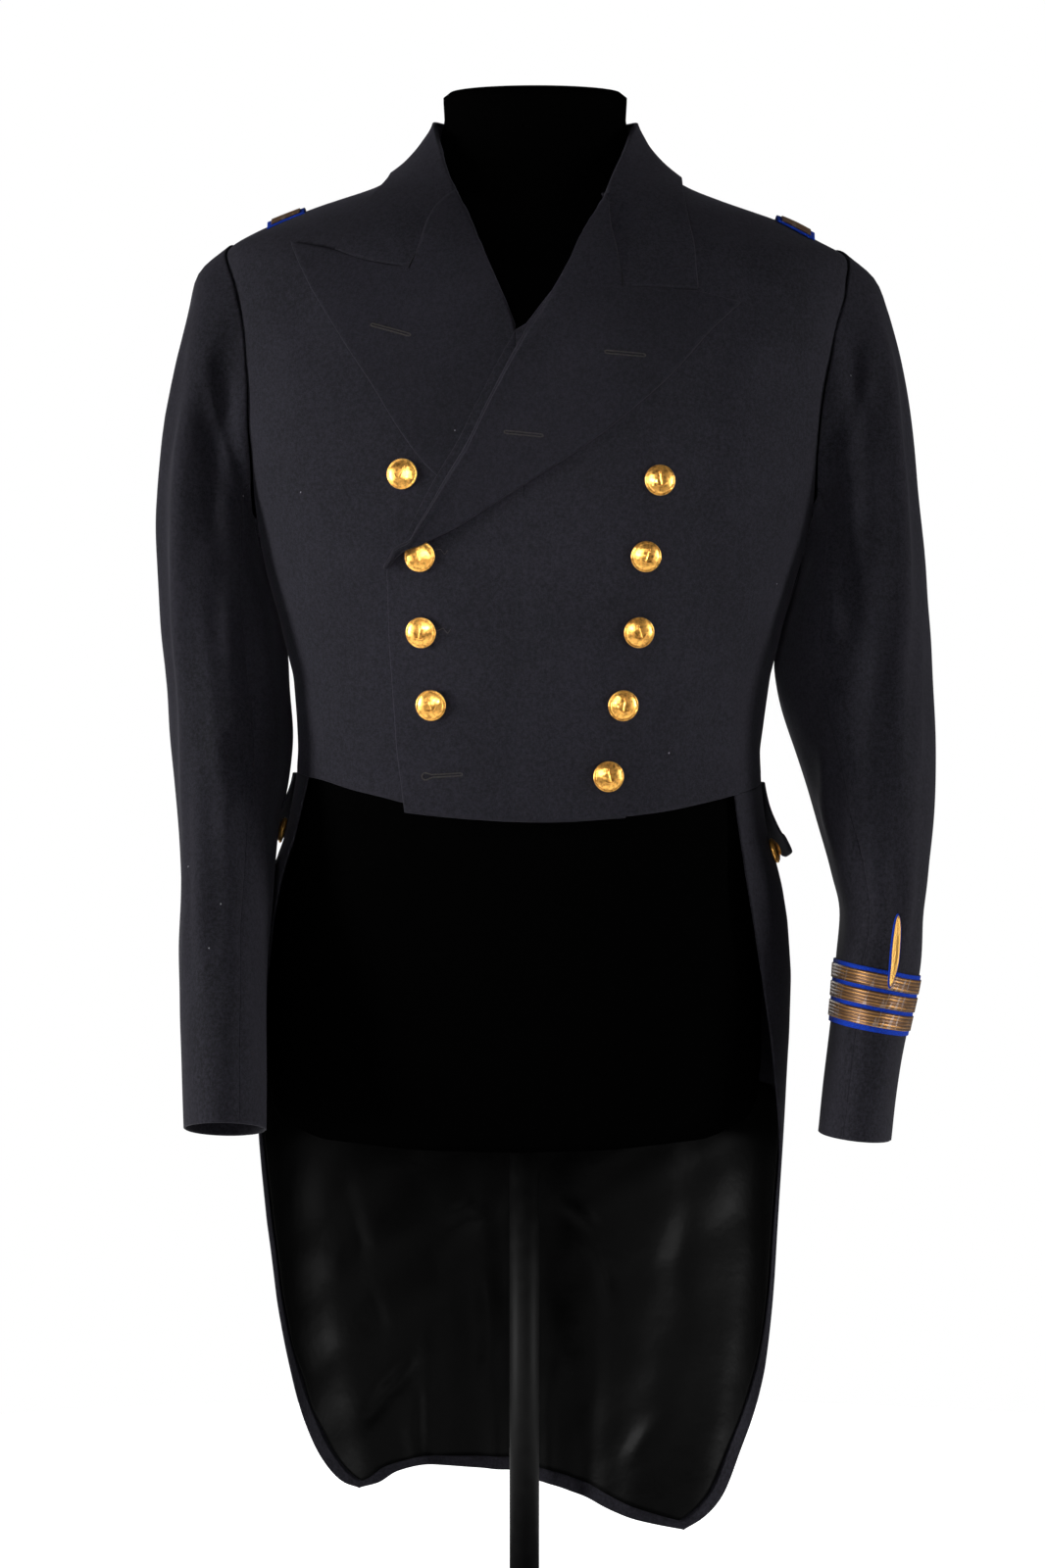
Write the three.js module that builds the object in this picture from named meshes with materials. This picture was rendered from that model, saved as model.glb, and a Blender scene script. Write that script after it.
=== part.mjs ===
// A naval dress tailcoat worn by a limbless dress form on a pole and round base.
// Millimetres, +Z up, the front faces -Y and the wearer's left is +X.
// The origin is the middle of the underside of the base.
import * as THREE from 'three';

// Cloth: wall thickness, the step from one layer to the next, and the gap left at every seam.
const WALL = 1.8;
const LAYER = 3.3;
const SEAM = 0.25;
const LINING_WALL = 1.2;
const LINING_DROP = 2.0;

// The left front lies over the right one as far as OVERLAP_TO and eases down to the body at EASED_AT.
const OVERLAP_LIFT = 7.2;
const OVERLAP_TO = 78;
const EASED_AT = 140;
const OVERLAP_TOP = { from: 950, to: 1040 };

// Lapel and collar: how far the turned edge stands proud along the roll line.
const ROLL_RISE = 3.5;
const ROLL_WIDTH = 0.16;
const RIGHT_ROLL = { from: 965, to: 1010 };
const COLLAR_TOP_LIFT = 2.0;
const COLLAR_LIFT = 4.6;
const STAND_WALL = 1.3;
const COLLAR_SETTLE = { from: 1131, to: 1112 };

// Buttons, in domed brass.
const FRONT_BUTTON = { radius: 11, height: 6.5, rim: 1.9 };
const HIP_BUTTON = { radius: 9.5, height: 6, rim: 1.7 };
const BUTTON_SIDES = 14;
const SEAT_GAP = 0.9;

// Stand.
const POLE_RADIUS = 11;
const POLE_SIDES = 16;
const BASE_RADIUS = 155;
const BASE_THICKNESS = 9;
const BASE_SIDES = 36;
const BASE_BEVEL = 2;
const FORM_BOTTOM = 371;
const JOINT_GAP = 0.3;

// One degree of turn counts as this many millimetres when points are spaced along an outline.
const DEGREE_SPAN = 2.8;
const DEGREES = Math.PI / 180;

const FINISH = {
  wool: { color: 0x1c1d26, roughness: 0.92, metalness: 0 },
  lapelWool: { color: 0x16161c, roughness: 0.9, metalness: 0 },
  satin: { color: 0x0b0b0d, roughness: 0.45, metalness: 0 },
  velvet: { color: 0x050505, roughness: 0.97, metalness: 0 },
  gilt: { color: 0xe0a54a, roughness: 0.28, metalness: 1 },
  lace: { color: 0x8f7548, roughness: 0.45, metalness: 0.7 },
  edging: { color: 0x10309a, roughness: 0.85, metalness: 0 },
  enamel: { color: 0x101010, roughness: 0.4, metalness: 0.3 },
};

// Inner face of the coat, from the tail hems to the neck: level sections round the middle line.
// front and back are depths from the middle, shift is the section's move across, square its corner power.
const BODY_COLUMNS = ['z', 'half', 'front', 'back', 'middle', 'shift', 'square'];
const BODY_ROWS = [
  [60, 160, 115, 64, 60, 4, 2.3],
  [100, 165, 115, 70, 54, 4, 2.3],
  [150, 171, 115, 77, 46, 4, 2.3],
  [200, 177, 115, 86, 36, 3, 2.3],
  [255, 183, 115, 95, 26, 0, 2.3],
  [314, 188, 115, 105, 16, -2, 2.3],
  [386, 192.5, 115, 116, 6, -2.5, 2.3],
  [455, 195, 115, 120, 0, -1, 2.3],
  [500, 195.5, 115, 117, 0, -0.5, 2.3],
  [540, 192.5, 115, 111, 0, 0, 2.3],
  [565, 188, 114, 106, 0, 0.5, 2.3],
  [583, 183, 114, 102, 0, 1, 2.3],
  [600, 177, 115, 98, 0, 1.5, 2.3],
  [620, 173, 116, 94, 0, 2, 2.3],
  [640, 170.5, 117, 91, 0, 3, 2.3],
  [665, 168.7, 119, 88, 0, 3, 2.3],
  [691, 170.8, 121, 88, 0, 4.4, 2.3],
  [720, 174.2, 124, 90, 0, 6, 2.35],
  [760, 184, 129, 96, 0, 5.5, 2.4],
  [795, 195, 133, 103, 0, 6, 2.4],
  [825, 204, 135, 107, 0, 7.5, 2.4],
  [850, 210, 135, 110, 0, 7, 2.4],
  [900, 219, 133, 114, 0, 7, 2.4],
  [950, 227, 126, 115, 0, 10, 2.3],
  [996, 234, 112, 110, 0, 12, 2.15],
  [1018, 233, 102, 106, 0, 10, 2.05],
  [1029, 230, 96, 103, 0, 8, 2],
  [1037.5, 217, 90, 100, 0, 2.5, 2],
  [1051.5, 190, 82, 95, 0, 4.5, 2],
  [1066.5, 148, 74, 89, 0, 2, 2],
  [1078, 114, 66, 84, 0, 6, 2],
  [1094, 93, 57, 79, 0, 7, 2],
  [1109, 80, 50, 74, 0, 7, 2],
  [1120, 74.5, 47, 71, 0, 8, 2],
  [1131, 72.3, 45, 70, 0, 8, 2],
  [1152, 71, 44, 67, 0, 8, 2],
];

// The dress form: its own hips, then the coat's inner face less FORM_EASE from the waist up.
const FORM_EASE = 5;
const FORM_SHOULDER_DROP = 6;
const FORM_SHOULDER_FROM = 940;
const FORM_HIP_ROWS = [
  [371, 60, 45, 40, 0, -8, 2],
  [373.5, 98, 70, 64, 0, -8, 2.05],
  [380, 147, 93, 88, 0, -8, 2.1],
  [393, 172, 103, 98, 0, -8, 2.2],
  [405, 179, 106, 102, 0, -8, 2.25],
  [437, 183, 108, 105, 0, -8, 2.3],
  [511, 181, 109, 105, 0, -6, 2.3],
  [551, 176, 110, 101, 0, -3, 2.3],
  [591, 170, 111, 95, 0, 0, 2.3],
];
const FORM_EASED_LEVELS = [
  630, 665, 700, 740, 780, 825, 870, 915, 955, 987, 1010, 1023, 1031, 1040, 1051, 1063, 1077, 1094,
  1112, 1130,
];
const FORM_NECK_ROWS = [
  [1147, 68, 42, 64, 0, 8, 2],
  [1151, 63, 37, 59, 0, 8, 2],
];
const FORM_SIDES = 30;

// Armholes, seen from the side: centre and half sizes, with the wearer's left first.
const ARMHOLE = {
  left: { side: 1, centre: 913, high: 118, middle: 8, deep: 66 },
  right: { side: -1, centre: 916, high: 119, middle: 8, deep: 66 },
};
const SHOULDER_STEPS = 10;
const SIDE_SEAM_ANGLE = 145;
const BACK_SEAM_ANGLE = 235;
const SLEEVE_HEAD_LIFT = 4.0;

// Sleeves: each ring runs through an inner and an outer point of the front view, and is deep front to back.
const SLEEVE_COLUMNS = ['innerX', 'innerZ', 'outerX', 'outerZ', 'middle', 'deep', 'rake'];
const SLEEVE_ROWS = {
  left: [
    [204.8, 790, 258, 1016, 8, 69, 0],
    [205.3, 784, 269, 992, 8, 72, 0],
    [204.5, 777, 277, 962, 8, 74, 0],
    [202.8, 769, 283, 928, 7, 76, 0],
    [200, 760, 289, 886, 6, 77, 0],
    [197, 750, 294, 838, 5, 78, 0],
    [193.5, 739, 297.5, 790, 4, 78, 0],
    [189.8, 725, 301, 742, 2, 77, 0],
    [191.5, 698, 303, 702, 0, 75, 0],
    [201.8, 662, 303.5, 660, -3, 72, 0],
    [214.3, 618, 301.6, 614, -10, 68, 0],
    [225.7, 575, 297.3, 571, -18, 65, 0],
    [232.2, 547, 292.8, 541, -24, 63, 0],
    [228.3, 511, 289.3, 503, -30, 61, 0],
    [223.9, 468, 279.8, 462, -36, 59, 0],
    [218.2, 418, 271.5, 415, -41, 58, 0],
    [214.5, 386.5, 267.3, 381.5, -44, 57, 0],
  ],
  right: [
    [193.9, 793, 240, 1020, 8, 69, 0],
    [194, 787, 248, 995, 8, 72, 0],
    [193, 781, 254, 962, 8, 74, 0],
    [190.8, 774, 261, 928, 7, 76, 0],
    [188.3, 766, 268, 890, 6, 77, 0],
    [185, 757, 272, 846, 5, 77, 0],
    [181.3, 747, 271, 800, 4, 76, 0],
    [177.9, 736, 268.5, 755, 2, 74, 0],
    [175, 712, 264.5, 712, 0, 71, 0],
    [173.6, 676, 261.5, 676, -4, 67, 0],
    [180.5, 640, 257, 640, -14, 63, 1],
    [186.6, 612, 253.8, 610, -26, 60, 2],
    [187, 576, 251.5, 573, -42, 57, 3],
    [186.5, 522, 250, 522, -66, 55, 4],
    [185.8, 477, 248, 477, -77, 54, 6],
    [185.8, 435, 246.8, 435, -83, 54, 8],
    [185.7, 392, 245, 392, -87, 54, 9],
  ],
};
const SLEEVE_SEAMS = { front: 118, back: -118 };
const SLEEVE_COLUMN_COUNT = { top: 13, under: 6 };
// Long pressed or hanging ridges (+) and troughs (-): ring angle at the top and bottom row of each.
const SLEEVE_FOLD_COLUMNS = ['topAngle', 'bottomAngle', 'fromRow', 'toRow', 'rise', 'spread'];
const SLEEVE_FOLDS = {
  left: [
    [42, 76, 1, 15, 5, 13],
    [68, 98, 2, 8, -3, 13],
    [-60, -75, 2, 13, 3.5, 15],
    [96, 110, 6, 12, 3, 12],
  ],
  right: [
    [48, 70, 1, 16, 4.5, 13],
    [72, 92, 2, 9, -3, 13],
    [-58, -72, 3, 14, 3.5, 15],
    [20, 28, 2, 10, 2.5, 12],
  ],
};

// Outlines seen from the front, x across and z up. Each roll line runs from the break up to the neck.
const ROLL_LINE = {
  left: [[-95, 794], [-87, 804], [-79, 823], [-62, 856], [-45, 885], [-17, 941], [-6, 960]],
  leftUpper: [[-6, 960], [15, 989], [39, 1029], [57, 1064]],
  right: [[72, 806], [60, 832], [46, 860], [30, 892], [11, 932], [-7, 962]],
  rightUpper: [[-7, 962], [-17, 984], [-32, 1017], [-46, 1050], [-52, 1066]],
};
const ROLL_TOP = {
  left: [[57, 1064], [68, 1093], [75, 1114], [79, 1125]],
  right: [[-52, 1066], [-57, 1090], [-61, 1110], [-64, 1127]],
};
const LAPEL_EDGE = {
  left: [[-92.5, 794], [-85, 805], [-68, 812], [-48, 821], [-20, 839], [1, 852], [44, 880], [92, 919],
    [130, 961], [154, 984]],
  right: [[74, 808], [46, 812], [10, 824], [-30, 843], [-62, 858], [-78, 877], [-97, 906], [-108, 925],
    [-130, 959], [-150, 992], [-160, 1012], [-168, 1031]],
};
const GORGE = {
  left: [[57, 1064], [61, 1050], [65, 1023], [69, 991]],
  right: [[-52, 1066], [-62, 1057], [-71, 1038], [-82, 1007]],
};
const NOTCH = {
  left: [[69, 991], [91, 991.5], [125, 991], [154, 984]],
  right: [[-82, 1007], [-99, 1011], [-118, 1016], [-135, 1023], [-168, 1031]],
};
const COLLAR_END = {
  left: [[69, 991], [91, 991.5], [126, 992]],
  right: [[-82, 1007], [-99, 1011], [-118, 1016], [-135, 1023]],
};
const COLLAR_EDGE = {
  left: [[126, 992], [126, 1015], [125, 1036], [122, 1054]],
  right: [[-135, 1023], [-129, 1036], [-121, 1054]],
};
// The collar edge goes on round the back, as turn in degrees and height.
const COLLAR_EDGE_BACK = [[66, 1060], [88, 1077], [115, 1081], [150, 1080], [180, 1079], [210, 1080],
  [245, 1081], [272, 1079], [290, 1066]];
const COLLAR_ROLL_BACK = [[74, 1125], [95, 1130], [130, 1133], [180, 1134], [230, 1133], [262, 1131],
  [281, 1127]];
const NECK_SEAM_HEIGHT = 1091;
const NECK_SEAM = {
  left: [[55, 1078], [88, NECK_SEAM_HEIGHT]],
  right: [[-60, 1080], [-88, NECK_SEAM_HEIGHT]],
};

const OVERLAP_EDGE = [[-83, 620], [-85, 640], [-89, 682], [-92, 724], [-94, 765], [-95, 794]];
const UPRIGHT_SEAM = [[-6, 614], [-6, 668], [-3, 765], [-1, 850], [-6, 960]];
const UNDERLAP_EDGE = [[72, 616], [72, 700], [72, 806]];
const HEM = {
  overlap: [[-83, 620], [-66, 618], [-38, 615.5], [-6, 614]],
  left: [[-6, 614], [31, 614.5], [66, 617], [102, 621.5], [130, 627], [154, 633]],
  right: [[72, 616], [20, 613], [-40, 616], [-83, 626], [-102, 631], [-123, 636], [-145, 643], [-158, 646]],
};
// Seams as turn in degrees and height.
const WAIST = {
  left: [[66, 633], [84, 641]],
  leftSide: [[84, 641], [112, 647], [148, 649]],
  leftBack: [[148, 649], [165, 649], [180, 648]],
  right: [[-73, 646], [-84, 649]],
  rightSide: [[-84, 649], [-112, 650], [-148, 650]],
  rightBack: [[-148, 650], [-165, 649], [-180, 648]],
};

// Tails: the front edge runs from the waist to the lowest point, and the hem from there to the centre back.
const TAIL_EDGE = {
  left: [[66, 632], [67, 604], [67, 569], [68, 534], [70, 498], [73, 462], [78, 410], [85, 356], [88, 310],
    [89, 265], [92, 219], [96, 178], [101, 137], [105, 97], [109, 79], [113, 69]],
  right: [[-73, 645], [-75, 617], [-76, 586], [-76, 546], [-77, 500], [-79, 462], [-84, 410], [-88, 371],
    [-90, 312], [-90, 268], [-91, 223], [-95, 175], [-102, 127], [-107, 108], [-111, 102]],
};
const TAIL_HEM = {
  left: [[113, 69], [121, 73], [135, 82], [151, 94], [169, 103], [180, 106]],
  right: [[-111, 102], [-116, 105], [-121, 113], [-130, 117], [-150, 115], [-180, 112]],
};
const TAIL_CENTRE_TOP = 648;
const TAIL_ROWS = 20;
const TAIL_COLUMNS = 9;
const CENTRE_GAP = 0.6;
const LINING_INSET = { edge: 13, hem: 12, top: 0, centre: 0.6 };
const LINING_FROM_ROW = 8;
// Folds of the tails: turn and height at each end, rise (+ outward) and spread in millimetres.
const TAIL_FOLD_COLUMNS = ['turnTop', 'zTop', 'turnBottom', 'zBottom', 'rise', 'spread'];
const TAIL_FOLDS = [
  [-146, 300, -128, 100, 5, 15],
  [-112, 420, -114, 90, 4, 20],
  [-166, 420, -160, 90, -3.5, 16],
  [156, 380, 146, 70, 5, 17],
  [122, 430, 128, 60, -4.5, 18],
  [104, 420, 110, 80, 4, 16],
  [172, 300, 168, 90, -3, 14],
];

// Pocket flaps at the hips: the turn, bottom height and outward flare of each step, front to back.
const FLAP_COLUMNS = ['turn', 'bottom', 'flare'];
const FLAPS = {
  left: { top: 641, rows: [[86, 600, 7], [91, 585, 10], [97, 582, 9], [103, 592, 7], [110, 602, 5], [118, 606, 4]] },
  right: { top: 648, rows: [[-83, 620, 4], [-89, 618, 5], [-96, 606, 6], [-102, 596, 6], [-108, 604, 5],
    [-116, 612, 4]] },
};
const FLAP_LIFT = 2.6;
const HIP_BUTTONS = {
  left: { turn: 82.5, z: 590, gap: 0.8 },
  right: { turn: -87, z: 605, gap: 1.6 },
};

// Front buttons by their centres in the front view.
const BUTTONS = [
  { name: 'button_left_1', x: 94, z: 855 },
  { name: 'button_left_2', x: 84, z: 802 },
  { name: 'button_left_3', x: 79, z: 749 },
  { name: 'button_left_4', x: 68, z: 697 },
  { name: 'button_left_5', x: 58, z: 646 },
  { name: 'button_right_1', x: -86, z: 860 },
  { name: 'button_right_2', x: -72, z: 802 },
  { name: 'button_right_3', x: -71, z: 749 },
  { name: 'button_right_4', x: -64, z: 697 },
];
// The lapel's edge humps up where it passes over the second button of the right column.
const LAPEL_HUMP = { x: -76, z: 808, rise: 9, spread: 19 };

// Shoulder loops, across and along the shoulder, arched clear of it in the middle.
const LOOPS = { left: { x: 198, lift: 2.2 }, right: { x: -174, lift: 1.5 } };
const LOOP = { width: 27, lace: 21, length: 56, arch: 2.6, wall: 1.4 };

// Rank lace round the left sleeve: heights at the inner side, tilt down towards the outer side.
const RANK = { top: 512, backing: 45, bands: 3, band: 10, edge: 3.5, tilt: -10, lift: 0.6, wall: 1 };
const CURL = { angle: 58, z: 518, halfHeight: 22, halfWidth: 11, band: 7, lift: 3.4, wall: 1.4 };

const group = new THREE.Group();

/** Adds one named piece with its finish. */
function addPiece(name, geometry, finish) {
  const material = new THREE.MeshStandardMaterial(FINISH[finish]);
  const mesh = new THREE.Mesh(geometry, material);
  mesh.name = name;
  group.add(mesh);
  return mesh;
}

/** Turns rows of numbers into objects with named columns. */
function table(columns, rows) {
  return rows.map((row) => Object.fromEntries(columns.map((column, i) => [column, row[i]])));
}

/** Reads a table smoothly by its first column, with no overshoot between rows. */
function smoothReader(columns, rows) {
  const keys = rows.map((row) => row[0]);
  const slopes = columns.map((_, c) => {
    const rise = keys.slice(1).map((key, i) => (rows[i + 1][c] - rows[i][c]) / (key - keys[i]));
    return keys.map((_key, i) => {
      if (i === 0) return rise[0];
      if (i === keys.length - 1) return rise[i - 1];
      if (rise[i - 1] * rise[i] <= 0) return 0;
      return (2 * rise[i - 1] * rise[i]) / (rise[i - 1] + rise[i]);
    });
  });
  return (value) => {
    const at = THREE.MathUtils.clamp(value, keys[0], keys[keys.length - 1]);
    let i = 0;
    while (i < keys.length - 2 && at > keys[i + 1]) i += 1;
    const span = keys[i + 1] - keys[i];
    const t = (at - keys[i]) / span;
    const result = {};
    columns.forEach((column, c) => {
      const start = (2 * t ** 3 - 3 * t ** 2 + 1) * rows[i][c] + (t ** 3 - 2 * t ** 2 + t) * span * slopes[c][i];
      const end = (-2 * t ** 3 + 3 * t ** 2) * rows[i + 1][c] + (t ** 3 - t ** 2) * span * slopes[c][i + 1];
      result[column] = start + end;
    });
    return result;
  };
}

const bodyAt = smoothReader(BODY_COLUMNS, BODY_ROWS);

/** Point of a level section in the direction turn (0 is the front, 90 the wearer's left). */
function sectionPoint(section, turn, z, ease = 0) {
  const across = Math.sin(turn * DEGREES);
  const ahead = Math.cos(turn * DEGREES);
  const depth = (ahead >= 0 ? section.front : section.back) - ease;
  const power = section.square;
  const sum = Math.abs(across / (section.half - ease)) ** power + Math.abs(ahead / depth) ** power;
  const reach = sum ** (-1 / power);
  return new THREE.Vector3(section.shift + across * reach, section.middle - ahead * reach, z);
}

/** Point of the coat's inner face, moved out by lift along the face's normal. */
function coatPoint(turn, z, lift = 0) {
  const turnStep = 0.3;
  const zStep = 0.8;
  const point = sectionPoint(bodyAt(z), turn, z);
  const around = sectionPoint(bodyAt(z), turn + turnStep, z).sub(sectionPoint(bodyAt(z), turn - turnStep, z));
  const up = sectionPoint(bodyAt(z + zStep), turn, z + zStep)
    .sub(sectionPoint(bodyAt(z - zStep), turn, z - zStep));
  const normal = around.cross(up).normalize();
  return point.addScaledVector(normal, lift);
}

/** Turn of the coat's face at a point of the front view. */
function turnAcross(x, z) {
  const section = bodyAt(z);
  const share = Math.min(Math.abs(x - section.shift) / section.half, 0.9999);
  const ahead = section.front * (1 - share ** section.square) ** (1 / section.square);
  return Math.atan2(x - section.shift, ahead) / DEGREES;
}

/** Turn of the coat's side at depth y. */
function turnAtDepth(y, z, side) {
  const section = bodyAt(z);
  const from = y - section.middle;
  const depth = from < 0 ? section.front : section.back;
  const share = Math.min(Math.abs(from) / depth, 0.9999);
  const x = section.half * (1 - share ** section.square) ** (1 / section.square);
  return (side * Math.atan2(x, -from)) / DEGREES;
}

/** Points of the front view as turn and height. */
function fromFront(points) {
  return points.map(([x, z]) => [turnAcross(x, z), z]);
}

/** Evenly spaced points of a smooth line through [turn, z] points. */
function leg(points, steps) {
  const nodes = points.map(([turn, z]) => new THREE.Vector3(turn * DEGREE_SPAN, z, 0));
  const curve = new THREE.CatmullRomCurve3(nodes, false, 'centripetal');
  return curve.getSpacedPoints(steps).map((point) => [point.x / DEGREE_SPAN, point.y]);
}

/** Joins legs end to start into one outline. */
function chain(...legs) {
  return legs.reduce((all, next) => all.concat(all.length ? next.slice(1) : next), []);
}

/** Points of an armhole's edge, from one angle to another; 0 is the top and 90 the front. */
function armholeLeg(armhole, fromAngle, toAngle, steps) {
  return Array.from({ length: steps + 1 }, (_, i) => {
    const angle = (fromAngle + ((toAngle - fromAngle) * i) / steps) * DEGREES;
    const z = armhole.centre + armhole.high * Math.cos(angle);
    const y = armhole.middle - armhole.deep * Math.sin(angle);
    let turn = turnAtDepth(y, z, armhole.side);
    if (armhole.side < 0 && turn > 0) turn -= 360;
    return [turn, z];
  });
}

/** Grid of [turn, z] filled between four outlines: left and right run up, bottom and top run across. */
function fill(left, right, bottom, top) {
  const rows = left.length - 1;
  const columns = bottom.length - 1;
  const mix = (a, b, t) => a + (b - a) * t;
  return left.map((_, j) => bottom.map((__, i) => {
    const u = i / columns;
    const v = j / rows;
    return [0, 1].map((axis) => {
      const between = mix(left[j][axis], right[j][axis], u) + mix(bottom[i][axis], top[i][axis], v);
      const corners = mix(mix(left[0][axis], right[0][axis], u), mix(left[rows][axis], right[rows][axis], u), v);
      return between - corners;
    });
  }));
}

/** Draws a grid's border in by the seam gap, so that neighbours never touch. */
function trimmed(grid, gap = SEAM) {
  const last = grid.length - 1;
  const end = grid[0].length - 1;
  const drawIn = ([turn, z], [towardTurn, towardZ]) => {
    const across = (towardTurn - turn) * DEGREE_SPAN;
    const up = towardZ - z;
    const share = gap / Math.max(Math.hypot(across, up), gap * 2);
    return [turn + (towardTurn - turn) * share, z + up * share];
  };
  const sides = grid.map((row) => row.map((point, i) => {
    if (i === 0) return drawIn(point, row[1]);
    if (i === end) return drawIn(point, row[end - 1]);
    return point;
  }));
  return sides.map((row, j) => row.map((point, i) => {
    if (j === 0) return drawIn(point, sides[1][i]);
    if (j === last) return drawIn(point, sides[last - 1][i]);
    return point;
  }));
}

/** Closed body between an outer and an inner grid of points; a wrapped grid closes on itself round its rows. */
function shell(outer, inner, wrapped = false) {
  const rows = outer.length;
  const columns = outer[0].length;
  const positions = [...outer.flat(), ...inner.flat()].flatMap((point) => [point.x, point.y, point.z]);
  const outerAt = (j, i) => j * columns + (i % columns);
  const innerAt = (j, i) => rows * columns + outerAt(j, i);
  const faces = [];
  const quad = (a, b, c, d) => faces.push([a, b, c], [a, c, d]);
  const lastColumn = wrapped ? columns : columns - 1;
  for (let j = 0; j < rows - 1; j += 1) {
    for (let i = 0; i < lastColumn; i += 1) {
      quad(outerAt(j, i), outerAt(j, i + 1), outerAt(j + 1, i + 1), outerAt(j + 1, i));
      quad(innerAt(j, i), innerAt(j + 1, i), innerAt(j + 1, i + 1), innerAt(j, i + 1));
    }
  }
  for (let i = 0; i < lastColumn; i += 1) {
    quad(innerAt(0, i), innerAt(0, i + 1), outerAt(0, i + 1), outerAt(0, i));
    quad(outerAt(rows - 1, i), outerAt(rows - 1, i + 1), innerAt(rows - 1, i + 1), innerAt(rows - 1, i));
  }
  if (!wrapped) {
    for (let j = 0; j < rows - 1; j += 1) {
      quad(outerAt(j, 0), outerAt(j + 1, 0), innerAt(j + 1, 0), innerAt(j, 0));
      const end = columns - 1;
      quad(innerAt(j, end), innerAt(j + 1, end), outerAt(j + 1, end), outerAt(j, end));
    }
  }
  return closedGeometry(positions, faces);
}

/** Geometry of a closed body, with its faces turned outward. */
function closedGeometry(positions, faces) {
  const at = (index) => new THREE.Vector3().fromArray(positions, index * 3);
  const volume = faces.reduce((sum, [a, b, c]) => sum + at(a).dot(at(b).cross(at(c))), 0);
  const outward = volume >= 0 ? faces : faces.map(([a, b, c]) => [a, c, b]);
  const geometry = new THREE.BufferGeometry();
  geometry.setAttribute('position', new THREE.Float32BufferAttribute(positions, 3));
  geometry.setIndex(outward.flat());
  geometry.computeVertexNormals();
  return geometry;
}

/** Sheet of cloth over a grid of [turn, z], with a lift worked out at each point. */
function clothSheet(grid, liftAt, wall = WALL) {
  const rows = grid.length - 1;
  const columns = grid[0].length - 1;
  const place = (extra) => grid.map((row, j) => row.map(([turn, z], i) => {
    const lift = liftAt(turn, z, i / columns, j / rows);
    return coatPoint(turn, z, lift + extra);
  }));
  return shell(place(wall), place(0));
}

/** Lift of the left front, which lies over the right one near the middle. */
function leftFrontLift(turn, z) {
  const x = coatPoint(turn, z).x;
  const aside = 1 - THREE.MathUtils.smoothstep(x, OVERLAP_TO, EASED_AT);
  const above = 1 - THREE.MathUtils.smoothstep(z, OVERLAP_TOP.from, OVERLAP_TOP.to);
  return OVERLAP_LIFT * aside * above;
}

/** Rise of the fold along a roll line; across runs from the fold to the outer edge. */
function rollRise(across) {
  return ROLL_RISE * Math.exp(-(((across - ROLL_WIDTH) / ROLL_WIDTH) ** 2));
}

/** Rise of the left lapel where it passes over a button. */
function lapelHump(turn, z) {
  const x = coatPoint(turn, z).x;
  const away = Math.hypot(x - LAPEL_HUMP.x, z - LAPEL_HUMP.z) / LAPEL_HUMP.spread;
  return LAPEL_HUMP.rise * Math.exp(-(away ** 2));
}

/** Fronts, with the overlap strip of the left one. */
function buildFronts() {
  const seamRows = 9;
  const rollRows = 3;
  const neckRows = 2;
  const sideRows = 6;
  const armholeRows = seamRows + rollRows + neckRows - sideRows;
  const { left, right } = ARMHOLE;
  const leftGrid = fill(
    chain(leg(fromFront(UPRIGHT_SEAM), seamRows), leg(fromFront(ROLL_LINE.leftUpper), rollRows),
      leg([fromFront(ROLL_LINE.leftUpper).pop(), ...NECK_SEAM.left], neckRows)),
    chain(leg([[84, 641], [86, 730], armholeLeg(left, SIDE_SEAM_ANGLE, 0, 1)[0]], sideRows),
      armholeLeg(left, SIDE_SEAM_ANGLE, 0, armholeRows)),
    chain(leg(fromFront(HEM.left), SHOULDER_STEPS - 1), leg(WAIST.left, 1)),
    leg([NECK_SEAM.left[1], armholeLeg(left, SIDE_SEAM_ANGLE, 0, 1)[1]], SHOULDER_STEPS),
  );
  addPiece('front_left', clothSheet(trimmed(leftGrid), leftFrontLift), 'wool');

  const stripGrid = fill(
    leg(fromFront(OVERLAP_EDGE), seamRows),
    leg(fromFront(UPRIGHT_SEAM), seamRows),
    leg(fromFront(HEM.overlap), 4),
    leg(fromFront(ROLL_LINE.left), 4),
  );
  addPiece('overlap_left', clothSheet(trimmed(stripGrid), leftFrontLift), 'wool');

  const underRows = 5;
  const rightGrid = fill(
    chain(leg(fromFront(UNDERLAP_EDGE), underRows), leg(fromFront(ROLL_LINE.right), 4),
      leg(fromFront(ROLL_LINE.rightUpper), rollRows),
      leg([fromFront(ROLL_LINE.rightUpper).pop(), ...NECK_SEAM.right], neckRows)),
    chain(leg([[-84, 649], [-86, 730], armholeLeg(right, SIDE_SEAM_ANGLE, 0, 1)[0]], sideRows),
      armholeLeg(right, SIDE_SEAM_ANGLE, 0, armholeRows)),
    chain(leg(fromFront(HEM.right), SHOULDER_STEPS - 1), leg(WAIST.right, 1)),
    leg([NECK_SEAM.right[1], armholeLeg(right, SIDE_SEAM_ANGLE, 0, 1)[1]], SHOULDER_STEPS),
  );
  addPiece('front_right', clothSheet(trimmed(rightGrid), () => 0), 'wool');
}

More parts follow.
